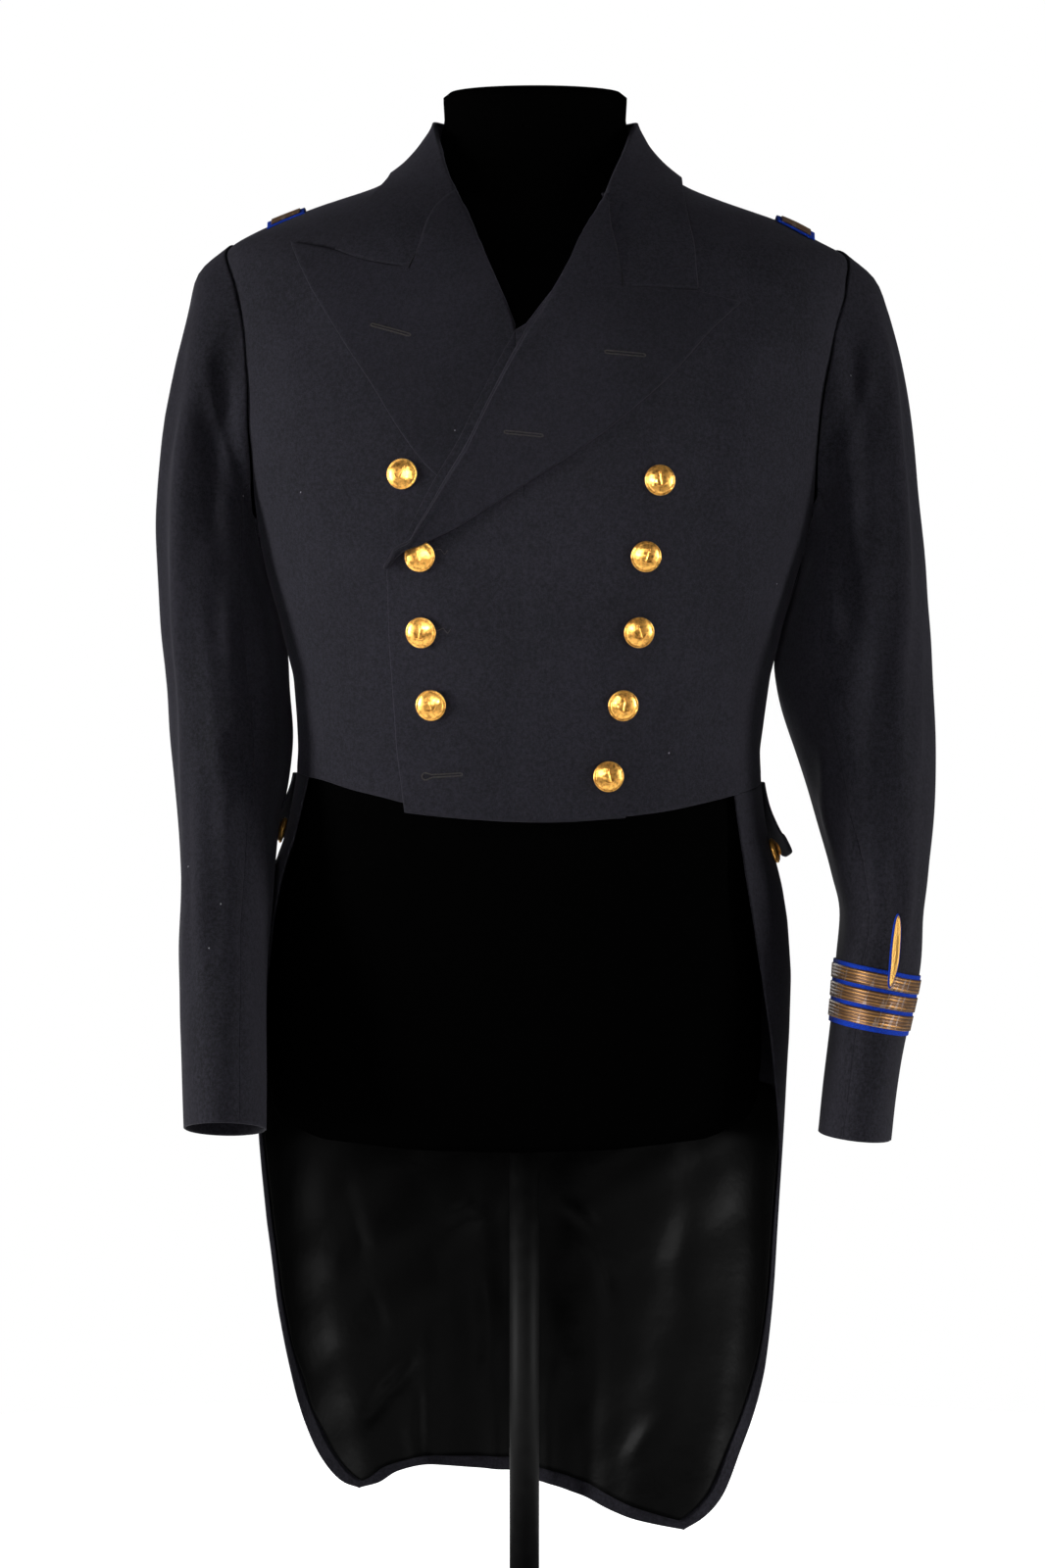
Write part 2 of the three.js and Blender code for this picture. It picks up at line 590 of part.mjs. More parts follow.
/** Lapels, from their roll lines out to their edges. */
function buildLapels() {
  const rows = 13;
  const gorgeColumns = 3;
  const notchColumns = 4;
  const leftGrid = fill(
    chain(leg(fromFront(ROLL_LINE.left), 10), leg(fromFront(ROLL_LINE.leftUpper), 3)),
    leg(fromFront(LAPEL_EDGE.left), rows),
    leg(fromFront([ROLL_LINE.left[0], LAPEL_EDGE.left[0]]), gorgeColumns + notchColumns),
    chain(leg(fromFront(GORGE.left), gorgeColumns), leg(fromFront(NOTCH.left), notchColumns)),
  );
  addPiece('lapel_left', clothSheet(
    trimmed(leftGrid),
    (turn, z, u) => leftFrontLift(turn, z) + LAYER + rollRise(u) + lapelHump(turn, z),
  ), 'lapelWool');

  const rightGrid = fill(
    chain(leg(fromFront(ROLL_LINE.right), 9), leg(fromFront(ROLL_LINE.rightUpper), 4)),
    leg(fromFront(LAPEL_EDGE.right), rows),
    leg(fromFront([ROLL_LINE.right[0], LAPEL_EDGE.right[0]]), gorgeColumns + notchColumns),
    chain(leg(fromFront(GORGE.right), gorgeColumns), leg(fromFront(NOTCH.right), notchColumns)),
  );
  addPiece('lapel_right', clothSheet(
    trimmed(rightGrid),
    (turn, z, u) => LAYER + rollRise(u) * THREE.MathUtils.smoothstep(z, RIGHT_ROLL.from, RIGHT_ROLL.to),
  ), 'lapelWool');
}

/** Collar: the fall lies over the shoulders and the stand rises against the neck. */
function buildCollar() {
  const frontSteps = 5;
  const backSteps = 18;
  const turnRight = (points) => points.map(([turn, z]) => [turn < 0 ? turn + 360 : turn, z]).reverse();
  const rollTopLeft = fromFront(ROLL_TOP.left);
  const rollTopRight = turnRight(fromFront(ROLL_TOP.right));
  const inner = chain(
    leg(fromFront([...GORGE.left].reverse()), 3),
    leg(rollTopLeft, 3),
    leg([rollTopLeft[rollTopLeft.length - 1], ...COLLAR_ROLL_BACK.slice(1, -1), rollTopRight[0]], backSteps - 2),
    leg(rollTopRight, 3),
    leg(turnRight(fromFront([...GORGE.right].reverse())), 3),
  );
  const edgeLeft = fromFront(COLLAR_EDGE.left);
  const edgeRight = turnRight(fromFront(COLLAR_EDGE.right));
  const outer = chain(
    leg(edgeLeft, frontSteps - 1),
    leg([edgeLeft[edgeLeft.length - 1], ...COLLAR_EDGE_BACK, edgeRight[0]], backSteps + 2),
    leg(edgeRight, frontSteps - 1),
  );
  const endLeft = leg(fromFront(COLLAR_END.left), 5);
  const endRight = leg(turnRight(fromFront(COLLAR_END.right)).reverse(), 5);
  const fallGrid = fill(endLeft, endRight, inner, outer);
  addPiece('collar_fall', clothSheet(trimmed(fallGrid, 0.3), (turn, z) => {
    const settled = THREE.MathUtils.smoothstep(COLLAR_SETTLE.from - z, 0, COLLAR_SETTLE.from - COLLAR_SETTLE.to);
    const onFront = turn < 180 ? leftFrontLift(turn, z) : 0;
    return COLLAR_TOP_LIFT + (COLLAR_LIFT - COLLAR_TOP_LIFT) * settled + onFront;
  }), 'wool');

  const standSteps = 20;
  const standRows = 3;
  const stitched = fromFront(ROLL_LINE.leftUpper).pop();
  const stitchedRight = turnRight(fromFront(ROLL_LINE.rightUpper))[0];
  const neckBack = [[88, NECK_SEAM_HEIGHT], [180, NECK_SEAM_HEIGHT + 1], [272, NECK_SEAM_HEIGHT]];
  const bottom = leg([stitched, NECK_SEAM.left[0], ...neckBack, turnRight([NECK_SEAM.right[0]])[0],
    stitchedRight], standSteps);
  const top = leg([...rollTopLeft, ...COLLAR_ROLL_BACK.slice(1, -1), ...rollTopRight], standSteps);
  const rise = bottom.map((point, i) => [point[0], Math.max(top[i][1] - 3, point[1] + 3)]);
  const standGrid = fill(
    leg([bottom[0], rise[0]], standRows),
    leg([bottom[standSteps], rise[standSteps]], standRows),
    bottom,
    rise,
  );
  addPiece('collar_stand', clothSheet(trimmed(standGrid, 0.6), () => 0, STAND_WALL), 'wool');
}

/** Backs and side bodies of both halves. */
function buildBacks() {
  Object.entries(ARMHOLE).forEach(([name, armhole]) => {
    const { side } = armhole;
    const sideTop = armholeLeg(armhole, BACK_SEAM_ANGLE, 360, 1)[0];
    const seam = leg([[side * 148, WAIST[`${name}Side`][2][1]], [side * 140, 720], sideTop], 6);
    const shoulder = leg([armholeLeg(armhole, 0, 360, 1)[0], NECK_SEAM[name][1]], SHOULDER_STEPS);
    const armholeSteps = 6;
    const rows = seam.length - 1 + armholeSteps + SHOULDER_STEPS;
    const neckTop = NECK_SEAM_HEIGHT + 1;
    const backGrid = fill(
      chain(seam, armholeLeg(armhole, BACK_SEAM_ANGLE, 360, armholeSteps), shoulder),
      leg([[side * 180, TAIL_CENTRE_TOP], [side * 180, neckTop]], rows),
      leg(WAIST[`${name}Back`], 6),
      leg([NECK_SEAM[name][1], [side * 140, NECK_SEAM_HEIGHT], [side * 180, neckTop]], 6),
    );
    addPiece(`back_${name}`, clothSheet(trimmed(backGrid), () => 0), 'wool');

    const frontSeam = leg([[side * 84, side > 0 ? 641 : 649], [side * 86, 730],
      armholeLeg(armhole, SIDE_SEAM_ANGLE, 0, 1)[0]], 6);
    const bodyGrid = fill(
      frontSeam,
      seam,
      leg(WAIST[`${name}Side`], 5),
      armholeLeg(armhole, SIDE_SEAM_ANGLE, BACK_SEAM_ANGLE, 5),
    );
    addPiece(`side_body_${name}`, clothSheet(trimmed(bodyGrid), () => 0), 'wool');
  });
}

/** Outward move of the tails' folds at a point. */
function tailFold(turn, z) {
  return table(TAIL_FOLD_COLUMNS, TAIL_FOLDS).reduce((sum, fold) => {
    const along = (fold.zTop - z) / (fold.zTop - fold.zBottom);
    if (along < 0) return sum;
    const line = fold.turnTop + (fold.turnBottom - fold.turnTop) * along;
    const away = ((turn - line) * DEGREE_SPAN) / fold.spread;
    return sum + fold.rise * Math.min(along * 1.4, 1) * Math.exp(-(away ** 2));
  }, 0);
}

/** Grid of [turn, z] over a tail, from its front edge to the centre back and from the waist to the hem. */
function tailGrid(name) {
  const { side } = ARMHOLE[name];
  const waist = [...WAIST[name], ...WAIST[`${name}Side`].slice(1), ...WAIST[`${name}Back`].slice(1)];
  const lowered = waist.map(([turn, z]) => [turn, z - SEAM * 2]);
  const hem = TAIL_HEM[name];
  return fill(
    leg([lowered[0], ...TAIL_EDGE[name].slice(1)], TAIL_ROWS),
    leg([[side * 180, TAIL_CENTRE_TOP], hem[hem.length - 1]], TAIL_ROWS),
    leg(lowered, TAIL_COLUMNS),
    leg(hem, TAIL_COLUMNS),
  );
}

/** Grid of points drawn in from its sides along its own faces; rows run down and columns from edge to centre. */
function drawnIn(points, { edge, hem, top, centre }) {
  const toward = (from, to, distance) => from.clone().lerp(to, Math.min(distance / from.distanceTo(to), 0.9));
  const last = points.length - 1;
  const end = points[0].length - 1;
  const narrowed = points.map((row) => row.map((point, i) => {
    if (i === 0) return toward(point, row[1], edge);
    if (i === end) return toward(point, row[end - 1], centre);
    return point;
  }));
  return narrowed.map((row, j) => row.map((point, i) => {
    if (j === 0) return toward(point, narrowed[1][i], top);
    if (j === last) return toward(point, narrowed[last - 1][i], hem);
    return point;
  }));
}

/** Tails, each with the lining that faces the form. */
function buildTails() {
  const tailInset = { edge: SEAM, hem: SEAM, top: 0, centre: CENTRE_GAP };
  ['left', 'right'].forEach((name) => {
    const grid = tailGrid(name);
    const face = (lift, fromRow = 0) => grid.slice(fromRow).map((row) => (
      row.map(([turn, z]) => coatPoint(turn, z, tailFold(turn, z) + lift))
    ));
    const tail = shell(drawnIn(face(WALL), tailInset), drawnIn(face(0), tailInset));
    addPiece(`tail_${name}`, tail, 'wool');
    const outer = drawnIn(face(-LINING_DROP, LINING_FROM_ROW), LINING_INSET);
    const inner = drawnIn(face(-LINING_DROP - LINING_WALL, LINING_FROM_ROW), LINING_INSET);
    addPiece(`tail_lining_${name}`, shell(outer, inner), 'satin');
  });
}

/** Outward move of a sleeve's folds at a ring row and angle. */
function sleeveFold(name, row, angle) {
  return table(SLEEVE_FOLD_COLUMNS, SLEEVE_FOLDS[name]).reduce((sum, fold) => {
    const along = (row - fold.fromRow) / (fold.toRow - fold.fromRow);
    if (along < 0 || along > 1) return sum;
    const line = fold.topAngle + (fold.bottomAngle - fold.topAngle) * along;
    const fade = Math.min(1, Math.sin(Math.PI * along) * 2.2);
    return sum + fold.rise * fade * Math.exp(-(((angle - line) / fold.spread) ** 2));
  }, 0);
}

/** Point of a sleeve's ring; angle 0 is the outer side, 90 the front and 180 the body's side. */
function sleevePoint(name, row, angle, inset) {
  const armhole = ARMHOLE[name];
  const turnAngle = angle * DEGREES;
  if (row === 0) {
    const grow = WALL - inset;
    const z = armhole.centre + (armhole.high + grow) * Math.cos(turnAngle);
    const y = armhole.middle - (armhole.deep + grow) * Math.sin(turnAngle);
    return coatPoint(turnAtDepth(y, z, armhole.side), z, SLEEVE_HEAD_LIFT);
  }
  const ring = table(SLEEVE_COLUMNS, SLEEVE_ROWS[name])[row - 1];
  const halfX = (ring.outerX - ring.innerX) / 2;
  const halfZ = (ring.outerZ - ring.innerZ) / 2;
  const half = Math.hypot(halfX, halfZ);
  const grow = sleeveFold(name, row, angle) - inset;
  const across = Math.cos(turnAngle) * (1 + grow / half);
  const ahead = Math.sin(turnAngle);
  return new THREE.Vector3(
    armhole.side * ((ring.innerX + ring.outerX) / 2 + halfX * across),
    ring.middle - ahead * (ring.deep + grow),
    (ring.innerZ + ring.outerZ) / 2 + halfZ * across + ring.rake * ahead,
  );
}

/** Two-piece sleeves. */
function buildSleeves() {
  const seamAngle = 0.3;
  ['left', 'right'].forEach((name) => {
    const rows = SLEEVE_ROWS[name].length + 1;
    const piece = (from, to, columns) => {
      const angles = Array.from({ length: columns + 1 }, (_, i) => from + ((to - from) * i) / columns);
      const grid = (inset) => Array.from({ length: rows }, (_, row) => (
        angles.map((angle) => sleevePoint(name, row, angle, inset))
      ));
      return shell(grid(0), grid(WALL));
    };
    const { front, back } = SLEEVE_SEAMS;
    addPiece(`top_sleeve_${name}`, piece(back + seamAngle, front - seamAngle, SLEEVE_COLUMN_COUNT.top), 'wool');
    addPiece(
      `under_sleeve_${name}`,
      piece(front + seamAngle, back + 360 - seamAngle, SLEEVE_COLUMN_COUNT.under),
      'wool',
    );
  });
}

/** Hip pocket flaps, hung from the waist seam and flared at their points. */
function buildFlaps() {
  Object.entries(FLAPS).forEach(([name, flap]) => {
    const steps = table(FLAP_COLUMNS, flap.rows);
    const levels = 4;
    const grid = Array.from({ length: levels + 1 }, (_, j) => steps.map((step) => {
      const z = flap.top + ((step.bottom - flap.top) * j) / levels;
      return [step.turn, z];
    }));
    const geometry = clothSheet(grid, (turn, z, u, v) => {
      const flare = steps[Math.round(u * (steps.length - 1))].flare;
      return FLAP_LIFT + flare * v ** 1.6;
    });
    addPiece(`pocket_flap_${name}`, geometry, 'wool');
  });
}

/** Domed button with a rim, turned about its own axis. */
function buttonGeometry({ radius, height, rim }) {
  const profile = [
    [0, 0], [radius * 0.94, 0], [radius, rim * 0.6], [radius * 0.92, rim * 1.2], [radius * 0.8, rim * 1.1],
    [radius * 0.48, height * 0.86], [0, height],
  ];
  return new THREE.LatheGeometry(profile.map(([x, y]) => new THREE.Vector2(x, y)), BUTTON_SIDES);
}

/** Sets a piece turned about Y on the coat, its axis along the cloth's normal. */
function seatOnCoat(mesh, turn, z, lift) {
  const seat = coatPoint(turn, z, lift);
  const normal = coatPoint(turn, z, lift + 1).sub(seat).normalize();
  mesh.position.copy(seat);
  mesh.quaternion.setFromUnitVectors(new THREE.Vector3(0, 1, 0), normal);
}

/** Buttons of the front and of the hips. */
function buildButtons() {
  BUTTONS.forEach(({ name, x, z }) => {
    const turn = turnAcross(x, z);
    const onLeftFront = x > OVERLAP_EDGE[5][0] + 12;
    const lift = (onLeftFront ? leftFrontLift(turn, z) : 0) + WALL + SEAT_GAP;
    seatOnCoat(addPiece(name, buttonGeometry(FRONT_BUTTON), 'gilt'), turn, z, lift);
  });
  Object.entries(HIP_BUTTONS).forEach(([name, { turn, z, gap }]) => {
    seatOnCoat(addPiece(`hip_button_${name}`, buttonGeometry(HIP_BUTTON), 'gilt'), turn, z, WALL + gap);
  });
}

/** Height of the shoulder at a place seen from above. */
function shoulderHeight(x, y) {
  let low = 980;
  let high = 1120;
  for (let step = 0; step < 30; step += 1) {
    const z = (low + high) / 2;
    const section = bodyAt(z);
    const depth = y < section.middle ? section.front : section.back;
    const power = section.square;
    const inside = Math.abs((x - section.shift) / section.half) ** power
      + Math.abs((y - section.middle) / depth) ** power < 1;
    if (inside) low = z;
    else high = z;
  }
  return (low + high) / 2;
}

/** Shoulder loops: a blue backing with a narrower strip of lace on it. */
function buildLoops() {
  Object.entries(LOOPS).forEach(([name, loop]) => {
    const strip = (width, length, lift, wall) => {
      const rows = 8;
      const columns = 2;
      const grid = (extra) => Array.from({ length: rows + 1 }, (_, j) => (
        Array.from({ length: columns + 1 }, (__, i) => {
          const px = loop.x + width * (i / columns - 0.5);
          const py = length * (j / rows - 0.5);
          const z = shoulderHeight(px, py);
          const section = bodyAt(z);
          const turn = Math.atan2(px - section.shift, -(py - section.middle)) / DEGREES;
          const arch = LOOP.arch * Math.cos((Math.PI * py) / LOOP.length) ** 2;
          return coatPoint(turn, z, lift + arch + extra);
        })
      ));
      return shell(grid(wall), grid(0));
    };
    addPiece(`shoulder_loop_${name}`, strip(LOOP.width, LOOP.length, loop.lift, LOOP.wall), 'edging');
    addPiece(
      `loop_lace_${name}`,
      strip(LOOP.lace, LOOP.length - 6, loop.lift + LOOP.wall + 0.4, 0.8),
      'lace',
    );
  });
}

/** Point of the left sleeve's outer face at a height measured on its inner side. */
function onSleeve(angle, z, lift) {
  const rings = table(SLEEVE_COLUMNS, SLEEVE_ROWS.left);
  let row = 1;
  while (row < rings.length - 1 && rings[row].innerZ > z) row += 1;
  const share = (rings[row - 1].innerZ - z) / (rings[row - 1].innerZ - rings[row].innerZ);
  const above = sleevePoint('left', row, angle, -lift);
  const below = sleevePoint('left', row + 1, angle, -lift);
  return above.lerp(below, share);
}

/** Rank lace: a blue backing round the sleeve, three bands of lace on it and one curl above them. */
function buildRankLace() {
  const { front, back } = SLEEVE_SEAMS;
  const spread = (from, to, count) => Array.from({ length: count }, (_, i) => from + ((to - from) * i) / count);
  const angles = [
    ...spread(back, front, SLEEVE_COLUMN_COUNT.top),
    ...spread(front, back + 360, SLEEVE_COLUMN_COUNT.under),
  ];
  const tube = (top, width, lift, wall) => {
    const ring = (level, extra) => angles.map((angle) => {
      const tilt = (RANK.tilt * (1 + Math.cos(angle * DEGREES))) / 2;
      return onSleeve(angle, level + tilt, lift + extra);
    });
    const levels = [top, top - width];
    return shell(levels.map((level) => ring(level, wall)), levels.map((level) => ring(level, 0)), true);
  };
  addPiece('rank_backing', tube(RANK.top, RANK.backing, RANK.lift, RANK.wall), 'edging');
  for (let i = 0; i < RANK.bands; i += 1) {
    const top = RANK.top - RANK.edge - i * (RANK.band + RANK.edge);
    const lift = RANK.lift + RANK.wall + 0.6;
    addPiece(`rank_band_${i + 1}`, tube(top, RANK.band, lift, 0.8), 'lace');
  }
  const steps = 20;
  const curl = (extra) => Array.from({ length: steps }, (_, i) => {
    const around = (2 * Math.PI * i) / steps;
    return [0, 1].map((edge) => {
      const across = (CURL.halfWidth + edge * CURL.band) * Math.sin(around);
      const up = (CURL.halfHeight - CURL.band + edge * CURL.band) * Math.cos(around);
      return onSleeve(CURL.angle - across, CURL.z + up, CURL.lift + extra);
    });
  });
  const transpose = (grid) => [0, 1].map((edge) => grid.map((pair) => pair[edge]));
  addPiece('rank_curl', shell(transpose(curl(CURL.wall)), transpose(curl(0)), true), 'lace');
}

/** Limbless dress form, closed at its bottom and at the top of its neck. */
function buildForm() {
  const own = (rows) => rows.map(([z, half, front, back, middle, shift, square]) => (
    { z, ease: 0, section: { half, front, back, middle, shift, square } }
  ));
  const eased = FORM_EASED_LEVELS.map((z) => {
    const drop = FORM_SHOULDER_DROP * THREE.MathUtils.smoothstep(z, FORM_SHOULDER_FROM, FORM_SHOULDER_FROM + 60);
    return { z, ease: FORM_EASE, section: bodyAt(z + drop) };
  });
  const levels = [...own(FORM_HIP_ROWS), ...eased, ...own(FORM_NECK_ROWS)];
  const positions = levels.flatMap(({ z, ease, section }) => (
    Array.from({ length: FORM_SIDES }, (_, i) => sectionPoint(section, (360 * i) / FORM_SIDES, z, ease).toArray())
  ).flat());
  const bottomCentre = levels.length * FORM_SIDES;
  const topCentre = bottomCentre + 1;
  positions.push(levels[0].section.shift, 0, levels[0].z, 8, 10, levels[levels.length - 1].z);
  const faces = [];
  for (let i = 0; i < FORM_SIDES; i += 1) {
    const next = (i + 1) % FORM_SIDES;
    faces.push([bottomCentre, next, i]);
    const topRow = (levels.length - 1) * FORM_SIDES;
    faces.push([topCentre, topRow + i, topRow + next]);
    for (let j = 0; j < levels.length - 1; j += 1) {
      const low = j * FORM_SIDES;
      const high = low + FORM_SIDES;
      faces.push([low + i, low + next, high + next], [low + i, high + next, high + i]);
    }
  }
  addPiece('dress_form', closedGeometry(positions, faces), 'velvet');
}

/** Pole and round base below the form. */
function buildStand() {
  const turned = (profile, sides) => {
    const geometry = new THREE.LatheGeometry(profile.map(([x, y]) => new THREE.Vector2(x, y)), sides);
    geometry.rotateX(Math.PI / 2);
    return geometry;
  };
  const base = [
    [0, 0], [BASE_RADIUS, 0], [BASE_RADIUS, BASE_THICKNESS - BASE_BEVEL],
    [BASE_RADIUS - BASE_BEVEL, BASE_THICKNESS], [0, BASE_THICKNESS],
  ];
  const poleBottom = BASE_THICKNESS + JOINT_GAP;
  const poleTop = FORM_BOTTOM - JOINT_GAP;
  const pole = [[0, poleBottom], [POLE_RADIUS, poleBottom], [POLE_RADIUS, poleTop], [0, poleTop]];
  addPiece('stand_base', turned(base, BASE_SIDES), 'enamel');
  addPiece('stand_pole', turned(pole, POLE_SIDES), 'enamel');
}

buildForm();
buildStand();
buildFronts();
buildLapels();
buildCollar();
buildBacks();
buildTails();
buildSleeves();
buildFlaps();
buildButtons();
buildLoops();
buildRankLace();

export default group;
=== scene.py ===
"""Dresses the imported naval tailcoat: form and stand, cloth, buttons, lace, camera and light.

Sizes in the tables are millimetres in the part's own frame: +Z up, the front faces -Y and the
wearer's left is +X. Every mesh is written in metres in that same frame.
"""

import logging
import math
from dataclasses import dataclass, field
from enum import Enum

import bpy
import numpy as np
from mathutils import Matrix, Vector

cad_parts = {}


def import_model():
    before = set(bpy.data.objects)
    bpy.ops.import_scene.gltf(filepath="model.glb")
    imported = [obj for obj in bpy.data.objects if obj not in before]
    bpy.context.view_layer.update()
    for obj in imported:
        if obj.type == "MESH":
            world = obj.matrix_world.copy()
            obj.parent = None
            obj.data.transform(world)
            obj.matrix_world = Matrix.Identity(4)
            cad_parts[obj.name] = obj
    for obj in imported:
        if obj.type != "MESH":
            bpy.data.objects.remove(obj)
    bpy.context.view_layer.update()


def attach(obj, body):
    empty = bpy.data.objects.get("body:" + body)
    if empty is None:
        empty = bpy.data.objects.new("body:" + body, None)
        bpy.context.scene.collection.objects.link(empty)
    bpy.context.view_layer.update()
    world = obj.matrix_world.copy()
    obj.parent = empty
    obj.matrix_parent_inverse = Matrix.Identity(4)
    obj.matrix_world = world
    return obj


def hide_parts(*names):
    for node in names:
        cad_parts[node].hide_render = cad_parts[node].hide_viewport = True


LOG = logging.getLogger("tailcoat")

MM = 0.001
BODY = "root"

# Cloth: wall thickness, layer steps and seam gaps, as in the solids.
WALL = 1.8
LAYER = 3.3
SEAM = 0.22
EDGE_ROW = 1.1
# Millimetres of cloth in one degree round the body, near enough to space points evenly.
DEGREE_SPAN = 2.8

# The left front lies over the right one near the middle.
OVERLAP_LIFT = 7.2
OVERLAP_TO = 78
EASED_AT = 140
OVERLAP_TOP = (950, 1040)

# The turned edge along a roll line.
ROLL_RISE = 3.5
ROLL_WIDTH = 0.16
RIGHT_ROLL = (965, 1010)
COLLAR_TOP_LIFT = 2.0
COLLAR_LIFT = 4.6
COLLAR_SETTLE = (1112, 1131)
NECK_SEAM_HEIGHT = 1091
SLEEVE_HEAD_LIFT = 4.0
SIDE_SEAM_ANGLE = 145
BACK_SEAM_ANGLE = 235
FORM_EASE = 5

# The camera's place in the part's frame, and the roll lines as it sees them.
EYE_DISTANCE = 3200
EYE_HEIGHT = 640
ROLL_FREE = (1108, 1122)
ROLL_REACH = 14
ROLL_COLUMNS = 16
ROLL_MOVE = 9
ROLL_DEPTH = 20
ROLL_SEEN = {
    "left": [(77.9, 1121), (73.5, 1109), (68, 1097), (62, 1083), (59, 1075), (52.1, 1063.4), (41.1, 1045.5),
             (34.2, 1029.6), (24.3, 1011.7), (14.4, 995.8), (4.4, 981.9), (-5.1, 966), (-17, 941), (-33, 911),
             (-47, 884), (-62, 856), (-79, 823)],
    "right": [(-61.8, 1115), (-58.1, 1099), (-54.2, 1087), (-49.2, 1077.3), (-41.3, 1062.4), (-34.4, 1045.5),
              (-29.3, 1033.6), (-21.4, 1015.7), (-13.5, 997.9), (-6.5, 980)],
}

# Grid steps of the scene's cloth for one step of the solids' outlines.
FINE = 8

# Level sections: z, half width, front, back, middle, shift, squareness.
BODY_ROWS = [
  [60, 160, 115, 64, 60, 4, 2.3],
  [100, 165, 115, 70, 54, 4, 2.3],
  [150, 171, 115, 77, 46, 4, 2.3],
  [200, 177, 115, 86, 36, 3, 2.3],
  [255, 183, 115, 95, 26, 0, 2.3],
  [314, 188, 115, 105, 16, -2, 2.3],
  [386, 192.5, 115, 116, 6, -2.5, 2.3],
  [455, 195, 115, 120, 0, -1, 2.3],
  [500, 195.5, 115, 117, 0, -0.5, 2.3],
  [540, 192.5, 115, 111, 0, 0, 2.3],
  [565, 188, 114, 106, 0, 0.5, 2.3],
  [583, 183, 114, 102, 0, 1, 2.3],
  [600, 177, 115, 98, 0, 1.5, 2.3],
  [620, 173, 116, 94, 0, 2, 2.3],
  [640, 170.5, 117, 91, 0, 3, 2.3],
  [665, 168.7, 119, 88, 0, 3, 2.3],
  [691, 170.8, 121, 88, 0, 4.4, 2.3],
  [720, 174.2, 124, 90, 0, 6, 2.35],
  [760, 184, 129, 96, 0, 5.5, 2.4],
  [795, 195, 133, 103, 0, 6, 2.4],
  [825, 204, 135, 107, 0, 7.5, 2.4],
  [850, 210, 135, 110, 0, 7, 2.4],
  [900, 219, 133, 114, 0, 7, 2.4],
  [950, 227, 126, 115, 0, 10, 2.3],
  [996, 234, 112, 110, 0, 12, 2.15],
  [1018, 233, 102, 106, 0, 10, 2.05],
  [1029, 230, 96, 103, 0, 8, 2],
  [1037.5, 217, 90, 100, 0, 2.5, 2],
  [1051.5, 190, 82, 95, 0, 4.5, 2],
  [1066.5, 148, 74, 89, 0, 2, 2],
  [1078, 114, 66, 84, 0, 6, 2],
  [1094, 93, 57, 79, 0, 7, 2],
  [1109, 80, 50, 74, 0, 7, 2],
  [1120, 74.5, 47, 71, 0, 8, 2],
  [1131, 72.3, 45, 70, 0, 8, 2],
  [1152, 71, 44, 67, 0, 8, 2],
]

# Sections of the form that the coat doesn't cover, in the same columns.
FORM_HIP_ROWS = [
  [371, 60, 45, 40, 0, -8, 2],
  [373.5, 98, 70, 64, 0, -8, 2.05],
  [380, 147, 93, 88, 0, -8, 2.1],
  [393, 172, 103, 98, 0, -8, 2.2],
  [405, 179, 106, 102, 0, -8, 2.25],
  [437, 183, 108, 105, 0, -8, 2.3],
  [511, 181, 109, 105, 0, -6, 2.3],
  [551, 176, 110, 101, 0, -3, 2.3],
  [591, 170, 111, 95, 0, 0, 2.3],
]

FORM_EASED_LEVELS = [
  630, 665, 700, 740, 780, 825, 870, 915, 955, 987, 1010, 1023, 1031, 1040, 1051, 1063, 1077, 1094,
  1112, 1130,
]

FORM_NECK_ROWS = [
  [1147, 68, 42, 64, 0, 8, 2],
  [1151, 63, 37, 59, 0, 8, 2],
]

ARMHOLE = {
  "left": {"side": 1, "centre": 913, "high": 118, "middle": 8, "deep": 66},
  "right": {"side": -1, "centre": 916, "high": 119, "middle": 8, "deep": 66},
}

# Sleeve rings: inner x and z, outer x and z, middle depth, half depth, rake.
SLEEVE_ROWS = {
  "left": [
    [204.8, 790, 258, 1016, 8, 69, 0],
    [205.3, 784, 269, 992, 8, 72, 0],
    [204.5, 777, 277, 962, 8, 74, 0],
    [202.8, 769, 283, 928, 7, 76, 0],
    [200, 760, 289, 886, 6, 77, 0],
    [197, 750, 294, 838, 5, 78, 0],
    [193.5, 739, 297.5, 790, 4, 78, 0],
    [189.8, 725, 301, 742, 2, 77, 0],
    [191.5, 698, 303, 702, 0, 75, 0],
    [201.8, 662, 303.5, 660, -3, 72, 0],
    [214.3, 618, 301.6, 614, -10, 68, 0],
    [225.7, 575, 297.3, 571, -18, 65, 0],
    [232.2, 547, 292.8, 541, -24, 63, 0],
    [228.3, 511, 289.3, 503, -30, 61, 0],
    [223.9, 468, 279.8, 462, -36, 59, 0],
    [218.2, 418, 271.5, 415, -41, 58, 0],
    [214.5, 386.5, 267.3, 381.5, -44, 57, 0],
  ],
  "right": [
    [193.9, 793, 240, 1020, 8, 69, 0],
    [194, 787, 248, 995, 8, 72, 0],
    [193, 781, 254, 962, 8, 74, 0],
    [190.8, 774, 261, 928, 7, 76, 0],
    [188.3, 766, 268, 890, 6, 77, 0],
    [185, 757, 272, 846, 5, 77, 0],
    [181.3, 747, 271, 800, 4, 76, 0],
    [177.9, 736, 268.5, 755, 2, 74, 0],
    [175, 712, 264.5, 712, 0, 71, 0],
    [173.6, 676, 261.5, 676, -4, 67, 0],
    [180.5, 640, 257, 640, -14, 63, 1],
    [186.6, 612, 253.8, 610, -26, 60, 2],
    [187, 576, 251.5, 573, -42, 57, 3],
    [186.5, 522, 250, 522, -66, 55, 4],
    [185.8, 477, 248, 477, -77, 54, 6],
    [185.8, 435, 246.8, 435, -83, 54, 8],
    [185.7, 392, 245, 392, -87, 54, 9],
  ],
}

